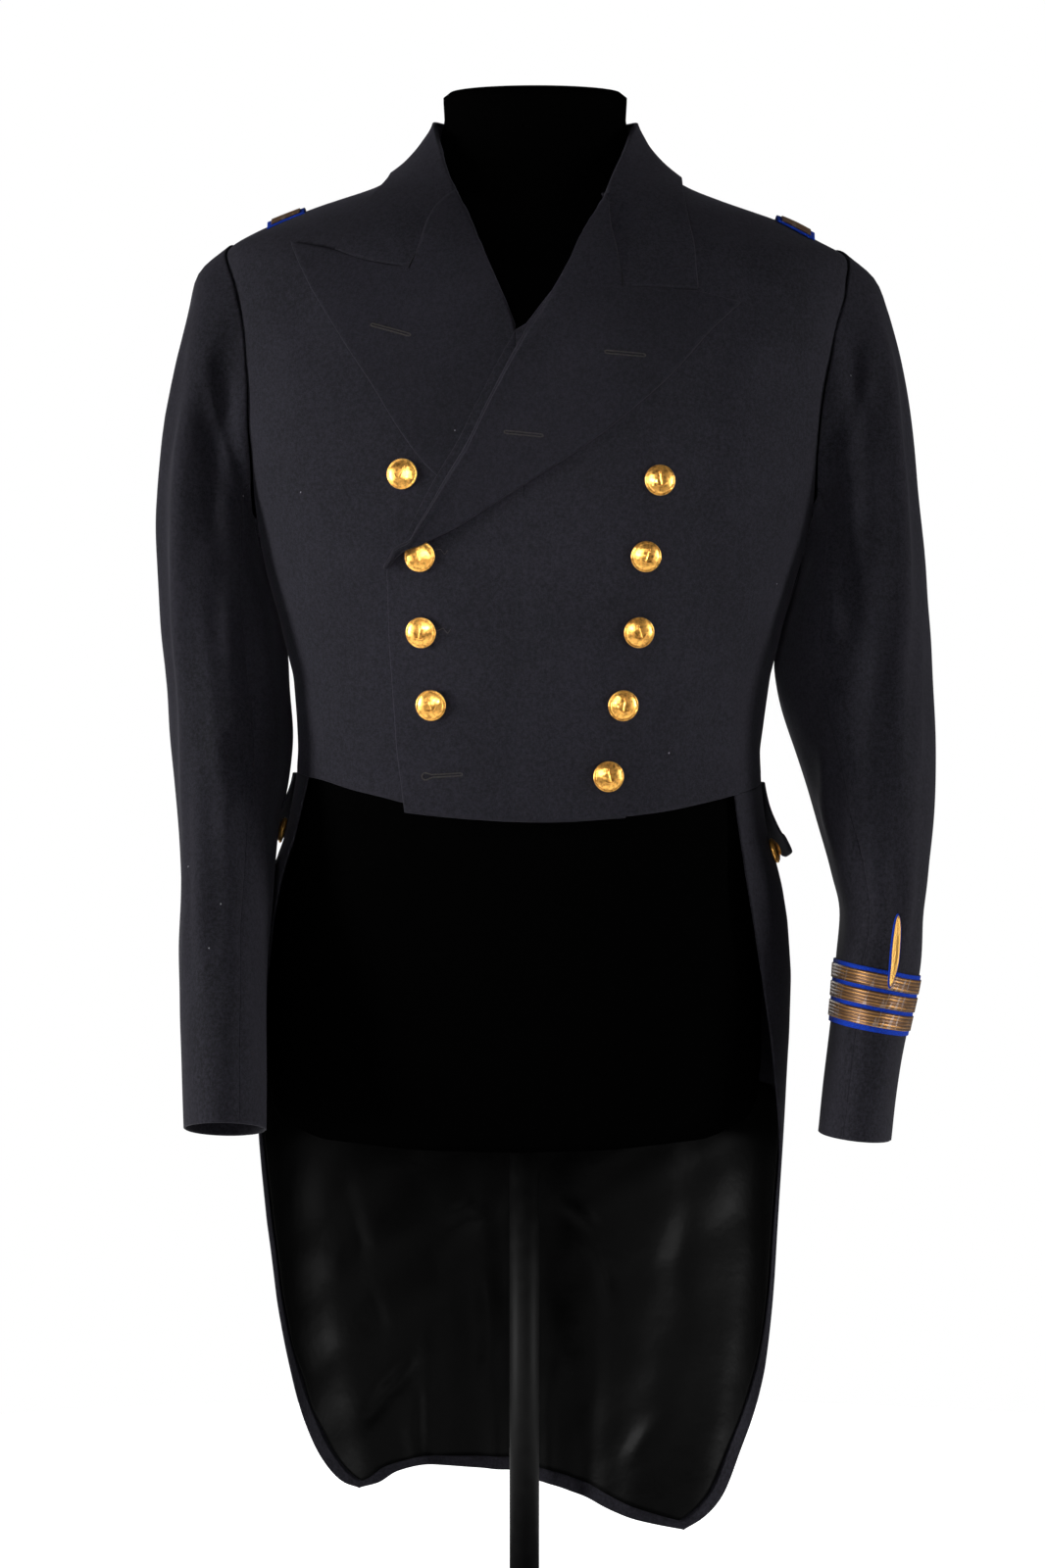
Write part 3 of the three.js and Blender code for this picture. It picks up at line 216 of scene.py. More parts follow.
# Folds down a sleeve: top and bottom angle, first and last ring, rise, spread.
SLEEVE_FOLDS = {
  "left": [
    [42, 76, 1, 15, 5, 13],
    [68, 98, 2, 8, -3, 13],
    [-60, -75, 2, 13, 3.5, 15],
    [96, 110, 6, 12, 3, 12],
  ],
  "right": [
    [48, 70, 1, 16, 4.5, 13],
    [72, 92, 2, 9, -3, 13],
    [-58, -72, 3, 14, 3.5, 15],
    [20, 28, 2, 10, 2.5, 12],
  ],
}

# Lines of the front view as x and z.
ROLL_LINE = {
  "left": [[-95, 794], [-87, 804], [-79, 823], [-62, 856], [-45, 885], [-17, 941], [-6, 960]],
  "leftUpper": [[-6, 960], [15, 989], [39, 1029], [57, 1064]],
  "right": [[72, 806], [60, 832], [46, 860], [30, 892], [11, 932], [-7, 962]],
  "rightUpper": [[-7, 962], [-17, 984], [-32, 1017], [-46, 1050], [-52, 1066]],
}

ROLL_TOP = {
  "left": [[57, 1064], [68, 1093], [75, 1114], [79, 1125]],
  "right": [[-52, 1066], [-57, 1090], [-61, 1110], [-64, 1127]],
}

LAPEL_EDGE = {
  "left": [[-92.5, 794], [-85, 805], [-68, 812], [-48, 821], [-20, 839], [1, 852], [44, 880], [92, 919],
    [130, 961], [154, 984]],
  "right": [[74, 808], [46, 812], [10, 824], [-30, 843], [-62, 858], [-78, 877], [-97, 906], [-108, 925],
    [-130, 959], [-150, 992], [-160, 1012], [-168, 1031]],
}

GORGE = {
  "left": [[57, 1064], [61, 1050], [65, 1023], [69, 991]],
  "right": [[-52, 1066], [-62, 1057], [-71, 1038], [-82, 1007]],
}

NOTCH = {
  "left": [[69, 991], [91, 991.5], [125, 991], [154, 984]],
  "right": [[-82, 1007], [-99, 1011], [-118, 1016], [-135, 1023], [-168, 1031]],
}

COLLAR_END = {
  "left": [[69, 991], [91, 991.5], [126, 992]],
  "right": [[-82, 1007], [-99, 1011], [-118, 1016], [-135, 1023]],
}

COLLAR_EDGE = {
  "left": [[123, 992], [121.5, 1013], [119.5, 1034], [115.5, 1056]],
  "right": [[-135, 1023], [-127, 1036], [-115, 1056]],
}

# Lines round the back of the collar as turn and z.
COLLAR_EDGE_BACK = [[68, 1069], [88, 1084], [115, 1086], [150, 1082], [180, 1080], [210, 1082],
  [245, 1086], [272, 1087], [290, 1074]]

COLLAR_ROLL_BACK = [[74, 1125], [95, 1130], [130, 1133], [180, 1134], [230, 1133], [262, 1131],
  [281, 1127]]

NECK_SEAM = {
  "left": [[55, 1078], [88, NECK_SEAM_HEIGHT]],
  "right": [[-60, 1080], [-88, NECK_SEAM_HEIGHT]],
}

OVERLAP_EDGE = [[-83, 620], [-85, 640], [-89, 682], [-92, 724], [-94, 765], [-95, 794]]

UPRIGHT_SEAM = [[-6, 614], [-6, 668], [-3, 765], [-1, 850], [-6, 960]]

UNDERLAP_EDGE = [[72, 616], [72, 700], [72, 806]]

HEM = {
  "overlap": [[-83, 620], [-66, 618], [-38, 615.5], [-6, 614]],
  "left": [[-6, 614], [31, 614.5], [66, 617], [102, 621.5], [130, 627], [154, 633]],
  "right": [[72, 616], [20, 613], [-40, 616], [-83, 626], [-102, 631], [-123, 636], [-145, 643], [-158, 646]],
}

# Lines round the waist and down the tails as turn and z.
WAIST = {
  "left": [[66, 633], [84, 641]],
  "leftSide": [[84, 641], [112, 647], [148, 649]],
  "leftBack": [[148, 649], [165, 649], [180, 648]],
  "right": [[-73, 646], [-84, 649]],
  "rightSide": [[-84, 649], [-112, 650], [-148, 650]],
  "rightBack": [[-148, 650], [-165, 649], [-180, 648]],
}

TAIL_EDGE = {
  "left": [[66, 632], [67, 604], [67, 569], [68, 534], [70, 498], [73, 462], [78, 410], [85, 356], [88, 310],
    [89, 265], [92, 219], [96, 178], [101, 137], [105, 97], [109, 79], [113, 69]],
  "right": [[-73, 645], [-75, 617], [-76, 586], [-76, 546], [-77, 500], [-79, 462], [-84, 410], [-88, 371],
    [-90, 312], [-90, 268], [-91, 223], [-95, 175], [-102, 127], [-107, 108], [-111, 102]],
}

TAIL_HEM = {
  "left": [[113, 69], [121, 73], [135, 82], [151, 94], [169, 103], [180, 106]],
  "right": [[-111, 102], [-116, 105], [-121, 113], [-130, 117], [-150, 115], [-180, 112]],
}

# Long folds of the tails: top turn and z, bottom turn and z, rise, spread.
TAIL_FOLDS = [
  [-146, 300, -128, 100, 5, 15],
  [-112, 420, -114, 90, 4, 20],
  [-166, 420, -160, 90, -3.5, 16],
  [156, 380, 146, 70, 5, 17],
  [122, 430, 128, 60, -4.5, 18],
  [104, 420, 110, 80, 4, 16],
  [172, 300, 168, 90, -3, 14],
]

# Each row of a flap: turn, height of its lower edge, flare.
FLAPS = {
  "left": {"top": 641, "rows": [[86, 600, 9], [91, 585, 12], [97, 582, 10], [103, 592, 7], [110, 602, 5],
    [118, 606, 4]]},
  "right": {"top": 648, "rows": [[-83, 612, 10], [-89, 606, 10], [-96, 600, 9], [-102, 596, 7],
    [-108, 604, 5], [-116, 612, 4]]},
}

HIP_BUTTONS = {
  "left": {"turn": 82.5, "z": 590, "gap": 0.8},
  "right": {"turn": -87, "z": 605, "gap": 1.6},
}

BUTTONS = [
  {"name": "button_left_1", "x": 94, "z": 855},
  {"name": "button_left_2", "x": 84, "z": 802},
  {"name": "button_left_3", "x": 79, "z": 749},
  {"name": "button_left_4", "x": 68, "z": 697},
  {"name": "button_left_5", "x": 58, "z": 646},
  {"name": "button_right_1", "x": -86, "z": 860},
  {"name": "button_right_2", "x": -72, "z": 802},
  {"name": "button_right_3", "x": -71, "z": 749},
  {"name": "button_right_4", "x": -64, "z": 697},
]

LOOPS = {"left": {"x": 198, "lift": 2.2}, "right": {"x": -174, "lift": 1.5}}


class Cloth(Enum):
    """How a sheet of cloth is held."""

    HUNG = "hung"


def smoothstep(value, low: float, high: float):
    """Smooth change from 0 at low to 1 at high.

    Args:
        value: number or array.
        low: where the change starts.
        high: where the change ends.

    Returns:
        The change, of the same shape as value.
    """
    share = np.clip((np.asarray(value, float) - low) / (high - low), 0, 1)
    return share * share * (3 - 2 * share)


class CoatFace:
    """The coat's inner face, from level sections that are read smoothly by height."""

    STEP = 1.5
    SOFTNESS = 3.6

    def __init__(self, rows: list) -> None:
        """Spreads the section table over close levels and softens it along the height.

        Args:
            rows: z, half, front, back, middle, shift and square of each section.
        """
        data = np.array(rows, float)
        reach = 8 * self.STEP
        self.levels = np.arange(data[0, 0] - reach, data[-1, 0] + reach, self.STEP)
        coarse = np.stack([np.interp(self.levels, data[:, 0], data[:, k]) for k in range(1, 7)], -1)
        away = np.arange(-8, 9) * self.STEP
        weights = np.exp(-((away / self.SOFTNESS) ** 2) / 2)
        padded = np.pad(coarse, ((8, 8), (0, 0)), mode="edge")
        weights /= weights.sum()
        self.table = sum(weight * padded[i:i + len(coarse)] for i, weight in enumerate(weights))

    def section(self, z: np.ndarray) -> np.ndarray:
        """Section numbers at each height."""
        at = (np.asarray(z, float) - self.levels[0]) / self.STEP
        at = np.clip(at, 0, len(self.levels) - 1.001)
        low = at.astype(int)
        share = (at - low)[..., None]
        return self.table[low] * (1 - share) + self.table[low + 1] * share

    def plain(self, turn: np.ndarray, z: np.ndarray, ease: float = 0.0) -> np.ndarray:
        """Points of the inner face in the directions turn (0 front, 90 the wearer's left)."""
        return section_points(self.section(z), turn, z, ease)

    def normal(self, turn: np.ndarray, z: np.ndarray) -> np.ndarray:
        """Unit normals of the face."""
        around = self.plain(turn + 1.2, z) - self.plain(turn - 1.2, z)
        up = self.plain(turn, z + 5) - self.plain(turn, z - 5)
        out = np.cross(around, up)
        return out / np.linalg.norm(out, axis=-1, keepdims=True)

    def point(self, turn, z, lift=0.0) -> np.ndarray:
        """Points of the face moved out by lift along its normals."""
        turn, z = np.broadcast_arrays(np.asarray(turn, float), np.asarray(z, float))
        return self.plain(turn, z) + self.normal(turn, z) * np.asarray(lift, float)[..., None]

    def turn_across(self, x, z) -> np.ndarray:
        """Turn of the face at a point of the front view."""
        half, front, _, _, shift, square = np.moveaxis(self.section(np.asarray(z, float)), -1, 0)
        share = np.minimum(np.abs(x - shift) / half, 0.9999)
        ahead = front * (1 - share**square) ** (1 / square)
        return np.degrees(np.arctan2(x - shift, ahead))

    def turn_at_depth(self, y, z, side: int) -> np.ndarray:
        """Turn of the face's side at depth y; side is 1 for the wearer's left and -1 for the right."""
        half, front, back, middle, _, square = np.moveaxis(self.section(np.asarray(z, float)), -1, 0)
        away = y - middle
        share = np.minimum(np.abs(away) / np.where(away < 0, front, back), 0.9999)
        x = half * (1 - share**square) ** (1 / square)
        return side * np.degrees(np.arctan2(x, -away))


def section_points(section: np.ndarray, turn, z, ease: float = 0.0) -> np.ndarray:
    """Points of level sections in the directions turn.

    Args:
        section: half, front, back, middle, shift and square along the last axis.
        turn: direction in degrees.
        z: height of each point.
        ease: how far the section is drawn in.

    Returns:
        Points as x, y, z in millimetres.
    """
    half, front, back, middle, shift, square = np.moveaxis(section, -1, 0)
    across, ahead = np.sin(np.radians(turn)), np.cos(np.radians(turn))
    depth = np.where(ahead >= 0, front, back) - ease
    total = np.abs(across / (half - ease)) ** square + np.abs(ahead / depth) ** square
    reach = total ** (-1 / square)
    return np.stack(np.broadcast_arrays(shift + across * reach, middle - ahead * reach, z), -1)


FACE = CoatFace(BODY_ROWS)


def from_front(points: list) -> np.ndarray:
    """Points of the front view as turn and height."""
    x, z = np.array(points, float).T
    return np.stack([FACE.turn_across(x, z), z], -1)


def leg(points, steps: int) -> np.ndarray:
    """Evenly spaced points of a smooth line through points.

    Args:
        points: [turn, z] points.
        steps: number of steps along the line.

    Returns:
        steps + 1 points.
    """
    knots = np.array(points, float) * (DEGREE_SPAN, 1)
    ends = np.vstack([2 * knots[0] - knots[1], knots, 2 * knots[-1] - knots[-2]])
    drawn = [knots[:1]]
    for i in range(len(knots) - 1):
        p0, p1, p2, p3 = ends[i:i + 4]
        d0, d1, d2 = (max(np.linalg.norm(b - a) ** 0.5, 1e-4) for a, b in ((p0, p1), (p1, p2), (p2, p3)))
        m1 = ((p1 - p0) / d0 - (p2 - p0) / (d0 + d1) + (p2 - p1) / d1) * d1
        m2 = ((p2 - p1) / d1 - (p3 - p1) / (d1 + d2) + (p3 - p2) / d2) * d1
        t = np.linspace(0, 1, 25)[1:, None]
        drawn.append((2 * t**3 - 3 * t**2 + 1) * p1 + (t**3 - 2 * t**2 + t) * m1
                     + (3 * t**2 - 2 * t**3) * p2 + (t**3 - t**2) * m2)
    line = np.vstack(drawn)
    along = np.concatenate([[0], np.cumsum(np.linalg.norm(np.diff(line, axis=0), axis=1))])
    even = np.linspace(0, along[-1], steps + 1)
    return read_along(even, along, line) / (DEGREE_SPAN, 1)


def read_along(at: np.ndarray, known: np.ndarray, points: np.ndarray) -> np.ndarray:
    """Points of a polyline at the distances at, where known holds the distance of each of its points."""
    return np.stack([np.interp(at, known, points[:, k]) for k in range(points.shape[1])], -1)


def chain(*legs: np.ndarray) -> np.ndarray:
    """Joins lines end to start into one outline."""
    return np.vstack([legs[0]] + [part[1:] for part in legs[1:]])


def armhole_leg(name: str, start: float, end: float, steps: int) -> np.ndarray:
    """Points of an armhole's edge; angle 0 is the top and 90 the front.

    Args:
        name: left or right.
        start: first angle in degrees.
        end: last angle in degrees.
        steps: number of steps.

    Returns:
        steps + 1 points as turn and height.
    """
    hole = ARMHOLE[name]
    angle = np.radians(np.linspace(start, end, steps + 1))
    z = hole["centre"] + hole["high"] * np.cos(angle)
    y = hole["middle"] - hole["deep"] * np.sin(angle)
    turn = FACE.turn_at_depth(y, z, hole["side"])
    if hole["side"] < 0:
        turn = np.where(turn > 0, turn - 360, turn)
    return np.stack([turn, z], -1)


def fill(left: np.ndarray, right: np.ndarray, bottom: np.ndarray, top: np.ndarray) -> np.ndarray:
    """Grid of [turn, z] filled between four outlines.

    Args:
        left: outline that runs up the first column.
        right: outline that runs up the last column.
        bottom: outline that runs across the first row.
        top: outline that runs across the last row.

    Returns:
        Grid of rows by columns by 2.
    """
    u = np.linspace(0, 1, len(bottom))[None, :, None]
    v = np.linspace(0, 1, len(left))[:, None, None]
    between = left[:, None] * (1 - u) + right[:, None] * u + bottom[None] * (1 - v) + top[None] * v
    corners = (left[0] * (1 - u) + right[0] * u) * (1 - v) + (left[-1] * (1 - u) + right[-1] * u) * v
    return between - corners


def trimmed(grid: np.ndarray, gap: float = SEAM) -> np.ndarray:
    """Draws a grid's border in by the seam gap and adds a close row inside it, so that edges stay crisp."""
    scale = np.array([DEGREE_SPAN, 1.0]) if grid.shape[-1] == 2 else np.ones(3)
    for axis in (0, 1):
        rows = np.moveaxis(grid, axis, 0)
        parts = []
        for here, following in ((rows[0], rows[1]), (rows[-1], rows[-2])):
            span = np.maximum(np.linalg.norm((following - here) * scale, axis=-1, keepdims=True), 1e-6)
            parts.append([here + (following - here) * np.minimum(step / span, 0.48)
                          for step in (gap, gap + EDGE_ROW)])
        rows = np.concatenate([np.stack(parts[0]), rows[1:-1], np.stack(parts[1][::-1])])
        grid = np.moveaxis(rows, 0, axis)
    return grid


def unevenness(a: np.ndarray, b: np.ndarray, size: float, seed: int) -> np.ndarray:
    """Soft irregular waves between about -1 and 1.

    Args:
        a: millimetres one way.
        b: millimetres the other way.
        size: wavelength of the widest wave.
        seed: seed of the waves.

    Returns:
        Wave height at each point.
    """
    draw = np.random.RandomState(seed)
    total = np.zeros(np.broadcast(a, b).shape)
    for wave in range(7):
        way, start = draw.uniform(0, math.tau, 2)
        length = size * draw.uniform(0.45, 1.0)
        phase = (a * math.cos(way) + b * math.sin(way)) * math.tau / length + start
        total += np.sin(phase) / (1 + wave * 0.35)
    return total / 2.6


@dataclass(frozen=True)
class Crease:
    """One soft crease along a line, raised (+) or sunk (-)."""

    line: tuple
    rise: float
    spread: float
    dip: float = 0.35

    def height(self, a: np.ndarray, b: np.ndarray) -> np.ndarray:
        """Rise of the cloth at each point.

        Args:
            a: first coordinate of the points, as in line.
            b: second coordinate of the points.

        Returns:
            Rise in millimetres.
        """
        knots = np.array(self.line, float)
        lengths = np.linalg.norm(np.diff(knots, axis=0), axis=1)
        before = np.concatenate([[0], np.cumsum(lengths)])
        nearest = np.full(a.shape, 1e9)
        side = np.zeros(a.shape)
        along = np.zeros(a.shape)
        for i, length in enumerate(lengths):
            way = (knots[i + 1] - knots[i]) / length
            da, db = a - knots[i][0], b - knots[i][1]
            t = np.clip(da * way[0] + db * way[1], 0, length)
            away = np.hypot(da - t * way[0], db - t * way[1])
            closer = away < nearest
            nearest = np.where(closer, away, nearest)
            side = np.where(closer, np.sign(da * way[1] - db * way[0]), side)
            along = np.where(closer, (before[i] + t) / before[-1], along)
        fade = np.clip(np.sin(np.pi * np.clip(along, 0.02, 0.98)), 0, 1) ** 0.6
        ridge = np.exp(-((nearest / self.spread) ** 2))
        trough = np.exp(-(((nearest * side - 1.9 * self.spread) / (1.2 * self.spread)) ** 2))
        return self.rise * fade * (ridge - self.dip * trough)


def crease_height(creases: list, a: np.ndarray, b: np.ndarray) -> np.ndarray:
    """Sum of several creases at each point."""
    return sum((crease.height(a, b) for crease in creases), np.zeros(np.broadcast(a, b).shape))


def grid_normals(points: np.ndarray, wrapped: bool = False) -> np.ndarray:
    """Unit normals of a grid of points; they face the way that columns times rows gives."""
    if wrapped:
        around = np.roll(points, -1, 1) - np.roll(points, 1, 1)
    else:
        around = np.gradient(points, axis=1)
    up = np.gradient(points, axis=0)
    out = np.cross(around, up)
    return out / np.maximum(np.linalg.norm(out, axis=-1, keepdims=True), 1e-9)


def seam_pinch(rows: int, columns: int, sides: str, depth: float = 0.55) -> np.ndarray:
    """Sinks the cloth along sewn borders.

    Args:
        rows: rows of the grid.
        columns: columns of the grid.
        sides: letters of the sewn borders: l, r, b (first row) and t (last row).
        depth: how far the seam sinks in millimetres.

    Returns:
        Lift to add, of rows by columns.
    """
    j, i = np.mgrid[0:rows, 0:columns].astype(float)
    away = {"l": i, "r": columns - 1 - i, "b": j, "t": rows - 1 - j}
    sunk = np.zeros((rows, columns))
    for side in sides:
        sunk = np.maximum(sunk, np.exp(-((away[side] / 2.1) ** 2)))
    return -depth * sunk


def linked(name: str, data: bpy.types.ID) -> bpy.types.Object:
    """Makes an object of that data and links it to the scene."""
    thing = bpy.data.objects.new(name, data)
    bpy.context.scene.collection.objects.link(thing)
    return thing


def add_mesh(name: str, vertices: np.ndarray, faces: list, uv: np.ndarray | None = None) -> bpy.types.Object:
    """Makes a smooth-shaded mesh object that rides on the part.

    Args:
        name: the piece's name.
        vertices: points in millimetres.
        faces: lists of vertex numbers.
        uv: a texture point in metres for each vertex.

    Returns:
        The new object.
    """
    mesh = bpy.data.meshes.new(name)
    mesh.from_pydata((np.asarray(vertices) * MM).tolist(), [], faces)
    mesh.polygons.foreach_set("use_smooth", [True] * len(mesh.polygons))
    if uv is not None:
        layer = mesh.uv_layers.new(name="cloth")
        index = np.zeros(len(mesh.loops), np.int32)
        mesh.loops.foreach_get("vertex_index", index)
        layer.data.foreach_set("uv", np.asarray(uv, np.float32)[index].ravel())
    mesh.update()
    piece = linked(name, mesh)
    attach(piece, BODY)
    return piece


def lengths_along(points: np.ndarray, axis: int) -> np.ndarray:
    """Length from the first row or column to each point, in millimetres."""
    steps = np.linalg.norm(np.diff(points, axis=axis), axis=-1)
    first = np.zeros_like(np.take(steps, [0], axis=axis))
    return np.concatenate([first, np.cumsum(steps, axis=axis)], axis=axis)


def shell(name: str, outer: np.ndarray, inner: np.ndarray, wrapped: bool = False) -> bpy.types.Object:
    """Closed sheet between two grids of points, with a rounded rim.

    Args:
        name: the piece's name.
        outer: rows by columns of points on the outer face.
        inner: the same on the inner face.
        wrapped: whether each row closes on itself.

    Returns:
        The new object.
    """
    rows, columns = outer.shape[:2]
    count = rows * columns
    number = np.arange(count).reshape(rows, columns)
    after = np.roll(number, -1, 1) if wrapped else number[:, 1:]
    here = number if wrapped else number[:, :-1]
    quads = np.stack([here[:-1], after[:-1], after[1:], here[1:]], -1).reshape(-1, 4)
    faces = [quads, quads[:, ::-1] + count]
    if wrapped:
        loops = [number[0], number[-1][::-1]]
    else:
        loops = [np.concatenate([number[0, :-1], number[:-1, -1], number[-1, :0:-1], number[:0:-1, 0]])]
    vertices = [outer.reshape(-1, 3), inner.reshape(-1, 3)]
    middle = (vertices[0] + vertices[1]) / 2
    outward = np.zeros_like(outer)
    outward[0] += outer[0] - outer[1]
    outward[-1] += outer[-1] - outer[-2]
    if not wrapped:
        outward[:, 0] += unit(outer[:, 0] - outer[:, 1])
        outward[:, -1] += unit(outer[:, -1] - outer[:, -2])
    outward = unit(outward.reshape(-1, 3))
    thick = np.linalg.norm(vertices[0] - vertices[1], axis=-1, keepdims=True)
    start = 2 * count
    for loop in loops:
        vertices.append(middle[loop] + outward[loop] * thick[loop] * 0.36)
        rim = np.arange(len(loop)) + start
        start += len(loop)
        following, rim_after = np.roll(loop, -1), np.roll(rim, -1)
        faces.append(np.stack([following, loop, rim, rim_after], -1))
        faces.append(np.stack([rim_after, rim, loop + count, following + count], -1))
    points = np.vstack(vertices)
    u, v = lengths_along(outer, 1).reshape(-1), lengths_along(outer, 0).reshape(-1)
    flat = np.stack([u, v], -1) * MM
    uv = np.vstack([flat, flat] + [flat[loop] for loop in loops])
    quads = np.vstack(faces)
    a, b, c, d = (points[quads[:, k]] for k in range(4))
    volume = np.einsum("ij,ij->i", a, np.cross(b, c)).sum() + np.einsum("ij,ij->i", a, np.cross(c, d)).sum()
    if volume < 0:
        quads = quads[:, ::-1]
    return add_mesh(name, points, quads.tolist(), uv)


def unit(vectors: np.ndarray) -> np.ndarray:
    """Vectors at unit length."""
    return vectors / np.maximum(np.linalg.norm(vectors, axis=-1, keepdims=True), 1e-9)


def tube(points: np.ndarray, radius, sides: int = 8, closed: bool = False) -> tuple[np.ndarray, np.ndarray]:
    """Vertices and faces of a round cord along points.

    Args:
        points: the cord's middle line.
        radius: one radius, or one for each point.
        sides: corners of its section.
        closed: whether the cord joins its own start.

    Returns:
        Vertices in millimetres and faces as vertex numbers.
    """
    count = len(points)
    radius = np.broadcast_to(np.asarray(radius, float), (count,))
    around = np.roll(points, -1, 0) - np.roll(points, 1, 0)
    way = unit(around if closed else np.gradient(points, axis=0))
    aside = unit(np.cross(way, np.array([0.31, -0.81, 0.5])))
    above = np.cross(way, aside)
    angle = np.linspace(0, math.tau, sides, endpoint=False)
    ring = aside[:, None] * np.cos(angle)[None, :, None] + above[:, None] * np.sin(angle)[None, :, None]
    vertices = (points[:, None] + ring * radius[:, None, None]).reshape(-1, 3)
    number = np.arange(count * sides).reshape(count, sides)
    following = np.roll(number, -1, 0) if closed else number[1:]
    here = number if closed else number[:-1]
    faces = np.stack([here, np.roll(here, -1, 1), np.roll(following, -1, 1), following], -1).reshape(-1, 4)
    return vertices, faces


def joined(parts: list) -> tuple[np.ndarray, list]:
    """Joins several meshes into one.

    Args:
        parts: pairs of vertices and faces.

    Returns:
        All vertices and all faces.
    """
    vertices, faces, start = [], [], 0
    for points, quads in parts:
        vertices.append(points)
        faces += [[int(v) + start for v in face] for face in quads]
        start += len(points)
    return np.vstack(vertices), faces


def lathe(profile: list, sides: int) -> tuple[np.ndarray, list]:
    """Surface turned about Z from a profile of radius and height, closed at both ends.

    Args:
        profile: [radius, height] points that start and end on the axis.
        sides: corners round the axis.

    Returns:
        Vertices in millimetres and faces.
    """
    angle = np.linspace(0, math.tau, sides, endpoint=False)
    rings = profile[1:-1]
    vertices = [[0, 0, profile[0][1]], [0, 0, profile[-1][1]]]
    for radius, height in rings:
        ring = [radius * np.cos(angle), radius * np.sin(angle), np.full(sides, height)]
        vertices += np.stack(ring, -1).tolist()
    faces = []
    last = 2 + (len(rings) - 1) * sides
    for i in range(sides):
        j = (i + 1) % sides
        faces.append([0, 2 + j, 2 + i])
        faces.append([1, last + i, last + j])
        for level in range(len(rings) - 1):
            low = 2 + level * sides
            faces.append([low + i, low + j, low + sides + j, low + sides + i])
    return np.array(vertices), faces


class NodeBook:
    """Writes a material's nodes."""

    def __init__(self, name: str) -> None:
        """Starts a material with one Principled shader."""
        self.material = bpy.data.materials.new(name)
        self.material.use_nodes = True
        self.tree = self.material.node_tree
        self.shader = next(n for n in self.tree.nodes if n.type == "BSDF_PRINCIPLED")

    def add(self, kind: str, settings: dict | None = None, **links) -> bpy.types.Node:
        """Adds a node.

        Args:
            kind: Blender's node type.
            settings: properties of the node itself.
            **links: socket values or sockets, by socket name with _ for a space.

        Returns:
            The new node.
        """
        node = self.tree.nodes.new(kind)
        for key, value in (settings or {}).items():
            setattr(node, key, value)
        for key, value in links.items():
            self.put(node, key.replace("_", " "), value)
        return node

    def put(self, node: bpy.types.Node, socket, value) -> None:
        """Sets a socket to a value, or links another socket to it."""
        target = node.inputs[socket]
        if isinstance(value, bpy.types.NodeSocket):
            self.tree.links.new(value, target)
        else:
            target.default_value = value

    def place(self, source: str = "Object") -> bpy.types.NodeSocket:
        """Texture coordinates in metres."""
        return self.add("ShaderNodeTexCoord").outputs[source]

    def noise(self, scale: float, detail: float = 3.0, source=None,
              rough: float = 0.55) -> bpy.types.NodeSocket:
        """Noise between 0 and 1."""
        vector = source or self.place()
        node = self.add("ShaderNodeTexNoise", None, Vector=vector, Scale=scale, Detail=detail,
                        Roughness=rough)
        return node.outputs[0]

    def math(self, kind: str, first, second=0.5) -> bpy.types.NodeSocket:
        """One arithmetic step."""
        node = self.add("ShaderNodeMath", {"operation": kind})
        self.put(node, 0, first)
        self.put(node, 1, second)
        return node.outputs[0]

    def ramp(self, value, low: float, high: float, dark: tuple, light: tuple) -> bpy.types.NodeSocket:
        """Colour between dark and light as value goes from low to high."""
        node = self.add("ShaderNodeValToRGB", None, Fac=value)
        points = node.color_ramp.elements
        points[0].position, points[0].color = low, (*dark, 1)
        points[1].position, points[1].color = high, (*light, 1)
        return node.outputs[0]

    def mix(self, share, first, second) -> bpy.types.NodeSocket:
        """Mix of two colours."""
        node = self.add("ShaderNodeMix", {"data_type": "RGBA"})
        self.put(node, 0, share)
        self.put(node, 6, first if isinstance(first, bpy.types.NodeSocket) else (*first, 1))
        self.put(node, 7, second if isinstance(second, bpy.types.NodeSocket) else (*second, 1))
        return node.outputs[2]

    def bump(self, height, distance: float, strength: float = 1.0) -> None:
        """Adds a bump of that height in metres to the shader."""
        before = self.shader.inputs["Normal"]
        node = self.add("ShaderNodeBump", None, Height=height, Distance=distance, Strength=strength)
        if before.is_linked:
            self.tree.links.new(before.links[0].from_socket, node.inputs["Normal"])
        self.tree.links.new(node.outputs[0], before)

    def set(self, **values) -> None:
        """Sets the shader's own sockets, with _ for a space."""
        for key, value in values.items():
            self.put(self.shader, key.replace("_", " "), value)


